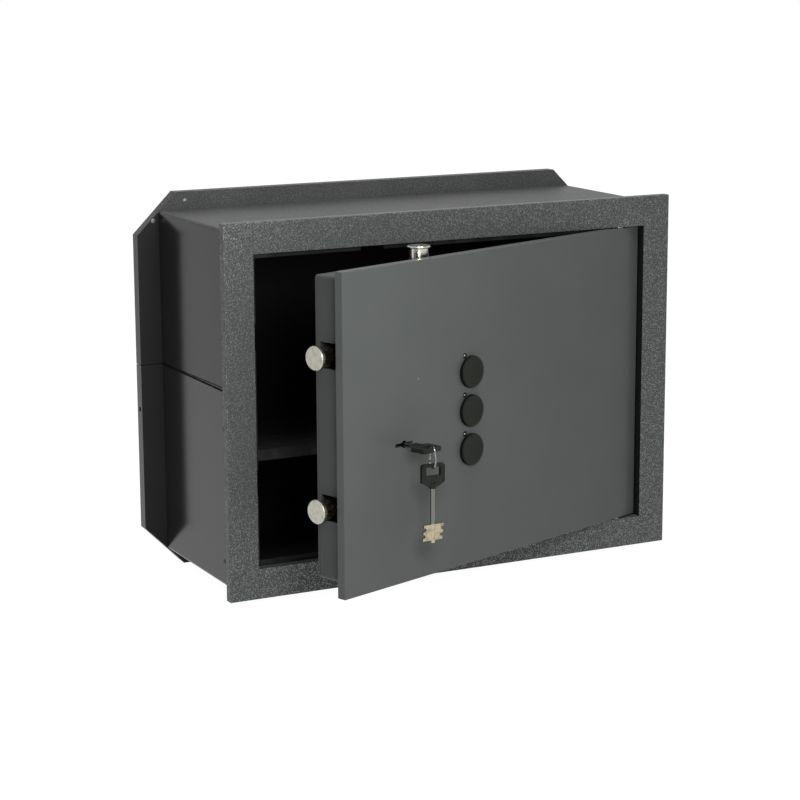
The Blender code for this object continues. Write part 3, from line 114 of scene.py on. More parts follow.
class ShaderGraph:
    """Builds the node tree of one material round a Principled shader."""

    def __init__(self, name: str) -> None:
        """Start a material.

        Args:
            name: Name of the material.
        """
        self.material = bpy.data.materials.new(name)
        self.material.use_nodes = True
        self.tree = self.material.node_tree
        self.shader = self.tree.nodes["Principled BSDF"]
        coordinates = self.add("ShaderNodeTexCoord")
        self.place = coordinates.outputs["Object"]

    def add(self, kind: str, **values: object) -> bpy.types.Node:
        """Add a node and set its properties.

        Args:
            kind: Node type.
            values: Properties of the node.

        Returns:
            The node.
        """
        node = self.tree.nodes.new(kind)
        for key, value in values.items():
            setattr(node, key, value)
        return node

    def feed(self, socket: Socket, value: Socket | float | Color) -> None:
        """Link an output to a socket, or set its value.

        Args:
            socket: Input socket.
            value: Output socket or plain value.
        """
        if isinstance(value, Socket):
            self.tree.links.new(value, socket)
        else:
            socket.default_value = value

    def set(self, **values: object) -> None:
        """Set inputs of the Principled shader.

        Args:
            values: Values or outputs by input name, with underscores for its blanks.
        """
        for key, value in values.items():
            socket = self.shader.inputs[key.replace("_", " ")]
            if isinstance(value, tuple) and len(value) == 3:
                value = (*value, 1.0)
            self.feed(socket, value)

    def grain(self, kind: Noise, size: float, detail: float = 2.0) -> Socket:
        """Add a grain texture.

        Args:
            kind: Cloud or cell grain.
            size: Size of a feature.
            detail: Finer octaves of a cloud.

        Returns:
            Its value output, 0 to 1.
        """
        node = self.add(kind.value)
        self.feed(node.inputs["Vector"], self.place)
        node.inputs["Scale"].default_value = 1 / size
        if kind is Noise.CLOUD:
            node.inputs["Detail"].default_value = detail
            return node.outputs["Factor"] if "Factor" in node.outputs else node.outputs["Fac"]
        node.feature = "SMOOTH_F1"
        return node.outputs["Distance"]

    def patches(self, patches: Patches) -> Socket:
        """Add cloudy patches: 0 between them and their share within them."""
        cloud = self.grain(Noise.CLOUD, patches.size, patches.detail)
        return self.ramp(cloud, patches.low, patches.high, 0.0, patches.share)

    def ramp(self, value: Socket, low: float, high: float, start: float = 0.0, end: float = 1.0) -> Socket:
        """Map a value range to another, clamped.

        Args:
            value: Output to map.
            low: Input that gives `start`.
            high: Input that gives `end`.
            start: First result.
            end: Last result.

        Returns:
            The mapped output.
        """
        node = self.add("ShaderNodeMapRange", interpolation_type="SMOOTHSTEP")
        self.feed(node.inputs["Value"], value)
        for key, number in (("From Min", low), ("From Max", high), ("To Min", start), ("To Max", end)):
            node.inputs[key].default_value = number
        return node.outputs["Result"]

    def mix(self, factor: Socket, first: Socket | Color, second: Socket | Color) -> Socket:
        """Mix two colours.

        Args:
            factor: Share of the second colour.
            first: First colour or output.
            second: Second colour or output.

        Returns:
            The mixed colour.
        """
        node = self.add("ShaderNodeMix", data_type="RGBA")
        self.feed(node.inputs[0], factor)
        for socket, value in ((node.inputs[6], first), (node.inputs[7], second)):
            self.feed(socket, (*value, 1.0) if isinstance(value, tuple) else value)
        return node.outputs[2]

    def maths(self, operation: str, *values: Socket | float) -> Socket:
        """Add a Math node.

        Args:
            operation: Name of the operation.
            values: Outputs or numbers.

        Returns:
            Its result.
        """
        node = self.add("ShaderNodeMath", operation=operation)
        for socket, value in zip(node.inputs, values):
            self.feed(socket, value)
        return node.outputs[0]

    def bump(self, height: Socket, distance: float, strength: float, under: Socket | None = None) -> Socket:
        """Add a bump from a height.

        Args:
            height: Height output.
            distance: Depth of the relief.
            strength: Strength, 0 to 1.
            under: Normal of a coarser relief.

        Returns:
            The bumped normal.
        """
        node = self.add("ShaderNodeBump")
        node.inputs["Distance"].default_value = distance
        node.inputs["Strength"].default_value = strength
        self.feed(node.inputs["Height"], height)
        if under is not None:
            self.feed(node.inputs["Normal"], under)
        return node.outputs["Normal"]

    def relief(self, relief: Relief, under: Socket | None = None) -> Socket:
        """Add a fine relief, over a coarser one where `under` is given, and return the bumped normal."""
        grain = self.grain(relief.kind, relief.size, relief.detail)
        return self.bump(grain, relief.depth, relief.strength, under)

    def axes(self) -> tuple[Socket, ...]:
        """Split the place into its x, y and z."""
        split = self.add("ShaderNodeSeparateXYZ")
        self.feed(split.inputs[0], self.place)
        return tuple(split.outputs)

    def vectors(self, operation: str, first: Socket, second: Point | None = None) -> bpy.types.Node:
        """Add a VectorMath node.

        Args:
            operation: Name of the operation.
            first: First vector.
            second: Second vector, where the operation takes one.

        Returns:
            The node.
        """
        node = self.add("ShaderNodeVectorMath", operation=operation)
        self.feed(node.inputs[0], first)
        if second is not None:
            node.inputs[1].default_value = second
        return node

    def beyond(self, point: Point, direction: Point, blur: float) -> Socket:
        """Tell which side of a plane a place lies on.

        Args:
            point: Point of the plane.
            direction: Its normal.
            blur: Width of the change.

        Returns:
            0 before the plane and 1 beyond it.
        """
        offset = self.vectors("SUBTRACT", self.place, point)
        along = self.vectors("DOT_PRODUCT", offset.outputs[0], direction)
        return self.ramp(along.outputs["Value"], -blur / 2, blur / 2)

    def distance_to(self, point: Point, stretch: Point) -> Socket:
        """Measure the distance to a point.

        Args:
            point: The point.
            stretch: Scale along each axis.

        Returns:
            The distance.
        """
        offset = self.vectors("SUBTRACT", self.place, point)
        scaled = self.vectors("MULTIPLY", offset.outputs[0], stretch)
        return self.vectors("LENGTH", scaled.outputs[0]).outputs["Value"]


@dataclass(frozen=True)
class HammeredPaint:
    """Dark grey hammered paint: metallic flecks in a film of small dimples, with near-black painted shade on
    the jambs.
    """

    name: str = "hammered_paint"
    color: Color = (0.054, 0.057, 0.056)
    fleck: Color = (0.235, 0.245, 0.24)
    fleck_size: float = 0.0009
    fleck_range: Pair = (0.46, 0.72)
    fleck_share: float = 0.90
    metallic: Pair = (0.10, 0.95)
    roughness_range: Pair = (0.35, 0.72)
    roughness: Pair = (0.52, 0.36)
    gloss: float = 0.20
    # Near-black painted shade for the jambs of the opening.
    jamb_shade_color: Color = (0.010, 0.010, 0.010)
    jamb_x: float = 0.2010
    jamb_width: float = 0.0001
    dimple_size: float = 0.0015
    relief: float = 0.00026
    strength: float = 0.75

    def material(self) -> bpy.types.Material:
        """Make the material."""
        graph = ShaderGraph(self.name)
        flecks = graph.grain(Noise.CLOUD, self.fleck_size)
        dimples = graph.grain(Noise.CELL, self.dimple_size)
        amount = graph.ramp(flecks, *self.fleck_range, 0.0, self.fleck_share)
        from_middle = graph.maths("ABSOLUTE", graph.axes()[0])
        # Painted shade: the jambs of the opening, at |x| = jamb_x, take a near-black colour.
        edge = graph.maths("COMPARE", from_middle, self.jamb_x, self.jamb_width)
        graph.set(Base_Color=graph.mix(edge, graph.mix(amount, self.color, self.fleck), self.jamb_shade_color))
        graph.set(Metallic=graph.ramp(flecks, *self.fleck_range, *self.metallic))
        graph.set(Roughness=graph.ramp(flecks, *self.roughness_range, *self.roughness))
        coarse = graph.bump(dimples, self.relief, self.strength)
        fine = graph.bump(flecks, self.relief / 2, self.strength, coarse)
        graph.set(Normal=fine, Specular_IOR_Level=self.gloss)
        return graph.material


@dataclass(frozen=True)
class ShellPaint:
    """Dark paint of the folded shells: glossy on the sides; duller, flecked and lighter on top, the lighter
    colour being painted light from above; near black inside, dark paint darkened further as painted shade.
    """

    name: str = "shell_paint"
    color: Color = (0.026, 0.027, 0.026)
    # Lighter colour of the upper faces: painted light from above.
    top_painted_light_color: Color = (0.066, 0.068, 0.067)
    cloud_color: Color = (0.020, 0.021, 0.020)
    fleck_color: Color = (0.24, 0.25, 0.245)
    # Near-black inner colour: dark inner paint, darkened further as painted shade inside the box.
    inside: Color = (0.004, 0.004, 0.004)
    gloss: float = 0.12
    half_width: float = 0.2200
    half_height: float = 0.1610
    rear: float = -0.0011
    fold: float = 0.0004
    roughness: float = 0.17
    top_roughness: float = 0.50
    inside_roughness: float = 0.70
    clouds: Patches = Patches(size=0.06, low=0.3, high=0.7, detail=3.0, share=0.3)
    flecks: Patches = Patches(size=0.0011, low=0.50, high=0.74, share=0.60)
    orange_peel: Relief = Relief(size=0.0016, depth=0.00006, strength=0.3, detail=1.0)

    def material(self) -> bpy.types.Material:
        """Make the material."""
        graph = ShaderGraph(self.name)
        x, y, z = graph.axes()
        width = (self.half_width - self.fold, self.half_width)
        height = (self.half_height - self.fold, self.half_height)
        across = graph.ramp(graph.maths("ABSOLUTE", x), *width)
        upward = graph.ramp(graph.maths("ABSOLUTE", z), *height)
        top = graph.ramp(z, *height)
        behind = graph.ramp(y, self.rear - self.fold, self.rear)
        outer = graph.maths("MAXIMUM", graph.maths("MAXIMUM", across, upward), behind)
        # Painted light: the upper faces take a lighter colour for the light that falls on them from above.
        paint = graph.mix(top, self.color, self.top_painted_light_color)
        paint = graph.mix(graph.patches(self.clouds), paint, self.cloud_color)
        speckle = graph.maths("MULTIPLY", graph.patches(self.flecks), top)
        paint = graph.mix(speckle, paint, self.fleck_color)
        # Inner faces take the near-black colour: dark paint plus painted shade inside the box.
        graph.set(Base_Color=graph.mix(outer, self.inside, paint), Metallic=speckle)
        blend = graph.add("ShaderNodeMix", data_type="FLOAT")
        graph.feed(blend.inputs[0], outer)
        blend.inputs[2].default_value = self.inside_roughness
        graph.feed(blend.inputs[3], graph.ramp(top, 0.0, 1.0, self.roughness, self.top_roughness))
        graph.set(Roughness=blend.outputs[0], Specular_IOR_Level=self.gloss)
        graph.set(Normal=graph.relief(self.orange_peel))
        return graph.material


@dataclass(frozen=True)
class SatinPaint:
    """Smooth satin paint with a fine orange peel, and one small chip where a place is given for it."""

    name: str = "satin_paint"
    color: Color = (0.074, 0.080, 0.078)
    low_color: Color = (0.068, 0.074, 0.072)
    speck_color: Color = (0.12, 0.12, 0.12)
    roughness: float = 0.40
    gloss: float = 0.20
    clouds: Patches = Patches(size=0.09, low=0.3, high=0.7, detail=3.0)
    specks: Patches = Patches(size=0.0009, low=0.62, high=0.80, share=0.15)
    smudge_size: float = 0.035
    smudge_range: Pair = (0.3, 0.75)
    smudge_change: Pair = (-0.04, 0.06)
    orange_peel: Relief = Relief(size=0.0013, depth=0.00006, strength=0.3, detail=1.0)
    chip: Point | None = None
    chip_color: Color = (0.26, 0.27, 0.26)
    chip_radius: float = 0.0011
    chip_reach: float = 1.3
    chip_stretch: Point = (2.0, 2.0, 0.8)
    chip_grain: float = 0.0008

    def chipped(self, graph: ShaderGraph) -> Socket:
        """Add nodes that give 1 in the chip and 0 round it, with a ragged edge.

        Args:
            graph: Graph of the material.

        Returns:
            Their output.
        """
        ragged = graph.maths("MULTIPLY", graph.grain(Noise.CLOUD, self.chip_grain), self.chip_grain)
        reach = graph.maths("ADD", graph.distance_to(self.chip, self.chip_stretch), ragged)
        return graph.ramp(reach, self.chip_radius, self.chip_radius * self.chip_reach, 1.0, 0.0)

    def material(self) -> bpy.types.Material:
        """Make the material."""
        graph = ShaderGraph(self.name)
        paint = graph.mix(graph.patches(self.clouds), self.color, self.low_color)
        paint = graph.mix(graph.patches(self.specks), paint, self.speck_color)
        if self.chip is not None:
            paint = graph.mix(self.chipped(graph), paint, self.chip_color)
        graph.set(Base_Color=paint, Specular_IOR_Level=self.gloss)
        smudges = graph.grain(Noise.CLOUD, self.smudge_size, detail=4.0)
        least, most = (self.roughness + change for change in self.smudge_change)
        graph.set(Roughness=graph.ramp(smudges, *self.smudge_range, least, most))
        graph.set(Normal=graph.relief(self.orange_peel))
        return graph.material


@dataclass(frozen=True)
class InnerPaint:
    """Matt black paint inside the safe, with dust and rubbed places."""

    name: str = "inner_paint"
    color: Color = (0.008, 0.008, 0.008)
    rubbed: Color = (0.020, 0.020, 0.019)
    roughness: float = 0.66
    rubbed_roughness: float = 0.52
    gloss: float = 0.15
    wear: Patches = Patches(size=0.02, low=0.45, high=0.75, detail=5.0)
    relief: Relief = Relief(size=0.0012, depth=0.00008, strength=0.4, detail=1.0)

    def material(self) -> bpy.types.Material:
        """Make the material."""
        graph = ShaderGraph(self.name)
        wear = graph.patches(self.wear)
        graph.set(Base_Color=graph.mix(wear, self.color, self.rubbed), Specular_IOR_Level=self.gloss)
        graph.set(Roughness=graph.ramp(wear, 0.0, 1.0, self.roughness, self.rubbed_roughness))
        graph.set(Normal=graph.relief(self.relief))
        return graph.material


@dataclass(frozen=True)
class TurnedNickel:
    """Satin nickel of a turned bolt: fine rings round its axis, and a shank of another colour."""

    name: str
    shank_start: Point
    axis: Point
    shank: Color
    color: Color = (0.44, 0.43, 0.37)
    dull: Color = (0.34, 0.33, 0.27)
    roughness: float = 0.26
    dull_change: float = 0.14
    shank_blur: float = 0.0004
    ring_pitch: float = 0.0009
    ring_depth: float = 0.00003
    ring_strength: float = 0.35
    waver_size: float = 0.004
    waver_angle: float = 5.0
    stains: Patches = Patches(size=0.004, low=0.40, high=0.74, detail=4.0)
    relief: Relief = Relief(size=0.0005, depth=0.00004, strength=0.3, detail=3.0)

    def material(self) -> bpy.types.Material:
        """Make the material."""
        graph = ShaderGraph(self.name)
        offset = graph.vectors("SUBTRACT", graph.place, self.shank_start)
        around = graph.vectors("CROSS_PRODUCT", offset.outputs[0], self.axis)
        radius = graph.vectors("LENGTH", around.outputs[0]).outputs["Value"]
        turns = graph.maths("MULTIPLY", radius, 2 * pi / self.ring_pitch)
        waver = graph.maths("MULTIPLY", graph.grain(Noise.CLOUD, self.waver_size), self.waver_angle)
        rings = graph.maths("SINE", graph.maths("ADD", turns, waver))
        stains = graph.patches(self.stains)
        face = graph.mix(stains, self.color, self.dull)
        shank = graph.beyond(self.shank_start, self.axis, self.shank_blur)
        graph.set(Base_Color=graph.mix(shank, face, self.shank), Metallic=1.0)
        dull_roughness = self.roughness + self.dull_change
        graph.set(Roughness=graph.ramp(stains, 0.0, 1.0, self.roughness, dull_roughness))
        coarse = graph.bump(rings, self.ring_depth, self.ring_strength)
        graph.set(Normal=graph.relief(self.relief, coarse))
        return graph.material


@dataclass(frozen=True)
class Metal:
    """Bare or plated metal with stains and fine marks."""

    name: str
    color: Color
    stain: Color
    roughness: float
    stain_size: float = 0.006
    stain_range: Pair = (0.4, 0.75)
    mark_size: float = 0.0006
    mark_range: Pair = (0.3, 0.75)
    mark_change: float = 0.16
    mark_depth: float = 0.00003
    mark_strength: float = 0.35

    def material(self) -> bpy.types.Material:
        """Make the material."""
        graph = ShaderGraph(self.name)
        stains = graph.patches(Patches(self.stain_size, *self.stain_range, detail=4.0))
        marks = graph.grain(Noise.CLOUD, self.mark_size, detail=3.0)
        graph.set(Base_Color=graph.mix(stains, self.color, self.stain), Metallic=1.0)
        marked_roughness = self.roughness + self.mark_change
        graph.set(Roughness=graph.ramp(marks, *self.mark_range, self.roughness, marked_roughness))
        graph.set(Normal=graph.bump(marks, self.mark_depth, self.mark_strength))
        return graph.material


@dataclass(frozen=True)
class SeamShadeStrip:
    """Near-black strip along a seam, painted shade of the seam's gap, with dust patches."""

    name: str = "seam_painted_shade"
    color: Color = (0.006, 0.006, 0.006)
    dusty: Color = (0.018, 0.018, 0.017)
    roughness: float = 0.75
    dusty_roughness: float = 0.90
    gloss: float = 0.03
    dust: Patches = Patches(size=0.004, low=0.45, high=0.75, detail=4.0)
    relief: Relief = Relief(size=0.0008, depth=0.00010, strength=0.5)

    def material(self) -> bpy.types.Material:
        """Make the material."""
        graph = ShaderGraph(self.name)
        dust = graph.patches(self.dust)
        graph.set(Base_Color=graph.mix(dust, self.color, self.dusty), Specular_IOR_Level=self.gloss)
        graph.set(Roughness=graph.ramp(dust, 0.0, 1.0, self.roughness, self.dusty_roughness))
        graph.set(Normal=graph.relief(self.relief))
        return graph.material


@dataclass(frozen=True)
class KeyMetal:
    """A key's blade: drawn steel shaft up to a plane, pale brass bit beyond it."""

    name: str
    bit_start: Point
    along: Point
    bit_blur: float = 0.0004
    steel: Color = (0.16, 0.16, 0.148)
    brass: Color = (0.42, 0.375, 0.265)
    tarnish: Color = (0.22, 0.18, 0.11)
    steel_roughness: float = 0.16
    brass_roughness: float = 0.32
    tarnish_change: float = 0.12
    stains: Patches = Patches(size=0.0035, low=0.42, high=0.75, detail=4.0, share=0.8)
    relief: Relief = Relief(size=0.0007, depth=0.00003, strength=0.4, detail=3.0)

    def material(self) -> bpy.types.Material:
        """Make the material."""
        graph = ShaderGraph(self.name)
        bit = graph.beyond(self.bit_start, self.along, self.bit_blur)
        stains = graph.patches(self.stains)
        brass = graph.mix(stains, self.brass, self.tarnish)
        graph.set(Base_Color=graph.mix(bit, self.steel, brass), Metallic=1.0)
        clean = graph.ramp(bit, 0.0, 1.0, self.steel_roughness, self.brass_roughness)
        duller = graph.maths("MULTIPLY", stains, self.tarnish_change)
        graph.set(Roughness=graph.maths("ADD", clean, duller))
        graph.set(Normal=graph.relief(self.relief))
        return graph.material


@dataclass(frozen=True)
class Plastic:
    """Moulded black plastic with a fine grain and finger marks, turned near black below a plane where one is
    given, as painted shade.
    """

    name: str
    color: Color
    roughness: float
    gloss: float = 0.12
    plane: Point | None = None
    upward: Point = (0, 0, 1)
    # Near-black painted shade for the part below the plane.
    below: Color = (0.003, 0.003, 0.003)
    below_blur: float = 0.0003
    marks: Patches = Patches(size=0.006, low=0.35, high=0.75, detail=4.0)
    mark_lift: float = 1.45
    mark_change: float = 0.12
    relief: Relief = Relief(size=0.0005, depth=0.00003, strength=0.35, kind=Noise.CELL)

    def material(self) -> bpy.types.Material:
        """Make the material."""
        graph = ShaderGraph(self.name)
        marks = graph.patches(self.marks)
        lighter = tuple(channel * self.mark_lift for channel in self.color)
        paint = graph.mix(marks, self.color, lighter)
        if self.plane is not None:
            # Painted shade: below the plane the colour turns near black.
            above = graph.beyond(self.plane, self.upward, self.below_blur)
            paint = graph.mix(above, self.below, paint)
        graph.set(Base_Color=paint, Specular_IOR_Level=self.gloss)
        marked_roughness = self.roughness + self.mark_change
        graph.set(Roughness=graph.ramp(marks, 0.0, 1.0, self.roughness, marked_roughness))
        graph.set(Normal=graph.relief(self.relief))
        return graph.material


STEEL = Metal("bright_steel", (0.34, 0.34, 0.32), (0.20, 0.20, 0.18), 0.18).material()
ZINC = Metal("zinc_plate", (0.55, 0.56, 0.56), (0.42, 0.42, 0.38), 0.36, stain_size=0.012).material()
BRASS = Metal("pale_brass", (0.72, 0.62, 0.40), (0.48, 0.38, 0.22), 0.34).material()


def dress(material: bpy.types.Material, *names: str) -> None:
    """Give frame nodes a material.

    Args:
        material: The material.
        names: Nodes that take it.
    """
    for name in names:
        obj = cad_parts[name]
        for slot in obj.material_slots:
            slot.material = material
        if not obj.material_slots:
            obj.data.materials.append(material)
        LOG.info("dressed %s in %s", name, material.name)


def new_piece(
    name: str, mesh: bmesh.types.BMesh, body: Body, material: bpy.types.Material
) -> bpy.types.Object:
    """Make a piece of the scene that rides on a body.

    Args:
        name: Name of the piece.
        mesh: Its mesh, freed here.
        body: Body that carries it.
        material: Its material.

    Returns:
        The object.
    """
    bmesh.ops.recalc_face_normals(mesh, faces=mesh.faces)
    data = bpy.data.meshes.new(name)
    mesh.to_mesh(data)
    mesh.free()
    data.shade_smooth()
    data.set_sharp_from_angle(angle=SHARP_ANGLE)
    data.materials.append(material)
    obj = bpy.data.objects.new(name, data)
    bpy.context.scene.collection.objects.link(obj)
    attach(obj, body.value)
    LOG.info("built %s on %s: %d faces", name, body.value, len(data.polygons))
    return obj


def arc_angles(reach: float, steps: int) -> list[float]:
    """Angles from 0 to `reach` in equal steps."""
    return [reach * step / steps for step in range(steps + 1)]


def join_rings(mesh: bmesh.types.BMesh, rings: list[list[bmesh.types.BMVert]], sides: int) -> None:
    """Lay a skin from ring to ring, where a ring may be a single point.

    Args:
        mesh: Mesh to add to.
        rings: Points of each ring.
        sides: Sides of the round.
    """
    for low, high in zip(rings, rings[1:]):
        for side in range(sides):
            after = (side + 1) % sides
            corners = [
                low[side % len(low)],
                low[after % len(low)],
                high[after % len(high)],
                high[side % len(high)],
            ]
            mesh.faces.new(list(dict.fromkeys(corners)))


def fluted(
    mesh: bmesh.types.BMesh, profile: list[Point], at: Point, axis: Point, flutes: int, steps: int
) -> None:
    """Add a turned form with fine flutes, closed where the profile meets the axis.

    Args:
        mesh: Mesh to add to.
        profile: Points of (radius, height along the axis, depth of the flutes there).
        at: Place of the origin of the profile.
        axis: Axis of the form.
        flutes: Number of flutes.
        steps: Sides for each flute.
    """
    place = Matrix.Translation(at) @ Vector(axis).to_track_quat("Z", "Y").to_matrix().to_4x4()
    sides = flutes * steps
    angles = [2 * pi * side / sides for side in range(sides)]
    rings = []
    for radius, height, depth in profile:
        points = [Vector((0, 0, height))]
        if radius != 0:
            reaches = [radius - depth * (1 - cos(a * flutes)) / 2 for a in angles]
            points = [Vector((r * cos(a), r * sin(a), height)) for r, a in zip(reaches, angles)]
        rings.append([mesh.verts.new(place @ point) for point in points])
    join_rings(mesh, rings, sides)


def turned(mesh: bmesh.types.BMesh, profile: list[Pair], at: Point, axis: Point, sides: int) -> None:
    """Add a plain turned form from a profile of (radius, height along the axis)."""
    fluted(mesh, [(radius, height, 0) for radius, height in profile], at, axis, 1, sides)


def swept(mesh: bmesh.types.BMesh, path: list[Vector], sections: list[list[Vector]]) -> None:
    """Join sections along a path into one closed body.

    Args:
        mesh: Mesh to add to.
        path: Centre of each section.
        sections: Offsets of each section's points from its centre.
    """
    rings = [
        [mesh.verts.new(centre + offset) for offset in offsets]
        for centre, offsets in zip(path, sections)
    ]
    join_rings(mesh, rings, len(rings[0]))
    mesh.faces.new(rings[0][::-1])
    mesh.faces.new(rings[-1])


def numbered(word: str, count: int) -> list[str]:
    """Names of a row of nodes, from word_1 on."""
    return [f"{word}_{number}" for number in range(1, count + 1)]


@dataclass
class Housing:
    """Shells, back panel, front frame, door stop and shelf, with their welds and near-black strips of painted
    shade along the seam.

    The spots' profile holds shares of their radius and height; the plugs' holds shares of their radius and
    heights in metres.
    """

    half_width: float = 0.2215
    half_height: float = 0.1625
    flange_front: float = -0.0120
    frame_back: float = -0.177
    mark_sides: int = 20
    arc_steps: int = 4
    spots_at: tuple[Pair, ...] = ((-0.1948, 0.1704), (-0.2268, 0.1533))
    spot_radius: float = 0.0022
    spot_height: float = 0.0006
    spot_profile: tuple[Pair, ...] = ((0, 1), (0.45, 0.85), (0.8, 0.45), (1, 0), (1, -0.5), (0, -0.5))
    spot_color: Color = (0.19, 0.20, 0.195)
    spot_stain: Color = (0.10, 0.10, 0.10)
    plugs_at: tuple[Pair, ...] = ((-0.1598, -0.0170), (-0.1564, -0.1394))
    plug_radius: float = 0.0017
    plug_profile: tuple[Pair, ...] = (
        (0, -0.0002), (0.55, -0.0001), (0.8, 0.00025), (1.1, 0.0002), (1.35, -0.0003), (0, -0.0004),
    )
    scale_color: Color = (0.030, 0.028, 0.026)
    scale_stain: Color = (0.014, 0.013, 0.012)
    bead_length: float = 0.022
    bead_pitch: float = 0.074
    bead_side_stretch: float = 1.3
    bead_radius: float = 0.0021
    bead_steps: int = 22
    bead_rise: float = 4
    bead_end_size: float = 0.25
    bead_ripple: float = 0.16
    bead_sink: float = 0.0002
    seam_height: float = 0.0180
    seam_line_radius: float = 0.0010
    seam_steps: int = 40
    seam_wobble: float = 0.18
    seam_waves: Pair = (61, 23)
    seam_flatness: float = 0.6
    seam_sink: float = 0.0003
    lap_line_radius: float = 0.00045
    lap_line_rise: Pair = (0.0008, 0.0030)
    shell: bpy.types.Material = field(default_factory=ShellPaint().material)

    def paint(self) -> None:
        """Paint the nodes of the housing."""
        dress(HammeredPaint().material(), "front_frame")
        dress(self.shell, "upper_shell")
        dress(ShellPaint(name="back_paint", half_width=1.0, half_height=1.0).material(), "back_panel")
        dress(ShellPaint(name="lower_shell_paint", gloss=0.17).material(), "lower_shell")
        shelf = InnerPaint("shelf_paint", color=(0.020, 0.020, 0.020), rubbed=(0.036, 0.036, 0.035))
        dress(shelf.material(), "shelf")
        dress(InnerPaint().material(), "shelf_bracket_left", "shelf_bracket_right", "door_stop")
        dress(STEEL, "hinge_pin_top", "hinge_pin_bottom")

    def spots(self) -> None:
        """Spot weld pimples on the front of the flange, beside its upper left cut corner."""
        mesh = bmesh.new()
        profile = [(r * self.spot_radius, h * self.spot_height) for r, h in self.spot_profile]
        for x, z in self.spots_at:
            turned(mesh, profile, (x, self.flange_front, z), (0, -1, 0), self.mark_sides)
        metal = Metal("spot_weld_metal", self.spot_color, self.spot_stain, 0.50, stain_size=0.002)
        new_piece("flange_spot_welds", mesh, Body.HOUSING, metal.material())

    def plugs(self) -> None:
        """Small dark plug weld craters on the side walls behind the frame."""
        mesh = bmesh.new()
        profile = [(r * self.plug_radius, h) for r, h in self.plug_profile]
        for side in (1, -1):
            for y, z in self.plugs_at:
                turned(mesh, profile, (side * self.half_width, y, z), (side, 0, 0), self.mark_sides)
        scale = Metal("weld_scale", self.scale_color, self.scale_stain, 0.55, stain_size=0.002)
        new_piece("side_plug_welds", mesh, Body.HOUSING, scale.material())

    def bead(self, mesh: bmesh.types.BMesh, start: Vector, end: Vector, out: Vector) -> None:
        """Add one rippled fillet bead between the frame's back and a wall.

        Args:
            mesh: Mesh to add to.
            start: Start in the corner.
            end: End in the corner.
            out: Direction out of the wall.
        """
        back = Vector((0, 1, 0))
        path = []
        sections = []
        for step in range(self.bead_steps + 1):
            share = step / self.bead_steps
            rise = min(1, self.bead_rise * share, self.bead_rise * (1 - share))
            swell = sin(pi * rise / 2) ** 0.5 if 0 < share < 1 else self.bead_end_size
            size = self.bead_radius * swell * (1 + self.bead_ripple * cos(step * pi))
            path.append(start.lerp(end, share))
            arc = [(back * cos(a) + out * sin(a)) * size for a in arc_angles(pi / 2, self.arc_steps)]
            sections.append([(back + out) * -self.bead_sink, *arc])
        swept(mesh, path, sections)

    def beads(self) -> None:
        """Stitch weld beads between the back of the frame and the walls."""
        mesh = bmesh.new()
        y = self.frame_back
        half = self.bead_length / 2
        for side in (1, -1):
            for step in (-2, -1, 0, 1, 2):
                x = step * self.bead_pitch
                z = side * self.half_height
                self.bead(mesh, Vector((x - half, y, z)), Vector((x + half, y, z)), Vector((0, 0, side)))
            for step in (-1, 0, 1):
                x = side * self.half_width
                z = step * self.bead_pitch * self.bead_side_stretch
                self.bead(mesh, Vector((x, y, z - half)), Vector((x, y, z + half)), Vector((side, 0, 0)))
        new_piece("frame_weld_beads", mesh, Body.HOUSING, self.shell)

    def seam_line(self, mesh: bmesh.types.BMesh, side: int, radius: float, heights: Pair) -> None:
        """Add one slightly uneven line along a side wall.

        Args:
            mesh: Mesh to add to.
            side: 1 for the right wall, -1 for the left one.
            radius: Half the height of the line's section.
            heights: Heights of its ends at the flange and at the frame.
        """
        back = self.flange_front - self.seam_line_radius
        front = self.frame_back + self.seam_line_radius
        z_back, z_front = heights
        first, second = self.seam_waves
        out = Vector((side, 0, 0))
        path = []
        sections = []
        for step in range(self.seam_steps + 1):
            share = step / self.seam_steps
            size = radius * (1 + self.seam_wobble * sin(share * first) * sin(share * second))
            y = back + (front - back) * share
            path.append(Vector((side * self.half_width, y, z_back + (z_front - z_back) * share)))
            arc = [
                out * sin(a) * size * self.seam_flatness + Vector((0, 0, cos(a) * size))
                for a in arc_angles(pi, self.arc_steps)
            ]
            sections.append([*arc, out * -self.seam_sink])
        swept(mesh, path, sections)

    def seam(self) -> None:
        """Near-black strips of painted shade in the seam of the shells and along the edge of the lap above
        it, on both side walls.
        """
        mesh = bmesh.new()
        level = self.seam_height
        near, far = self.lap_line_rise
        for side in (1, -1):
            self.seam_line(mesh, side, self.seam_line_radius, (level, level))
            self.seam_line(mesh, side, self.lap_line_radius, (level + near, level + far))
        # These strips are painted shade: near black where the seam's gap lies in shadow.
        new_piece("seam_shade_strips", mesh, Body.HOUSING, SeamShadeStrip().material())

    def build(self) -> None:
        """Paint the housing and add its welds and the painted shade strips along its seam."""
        self.paint()
        self.spots()
        self.plugs()
        self.beads()
        self.seam()


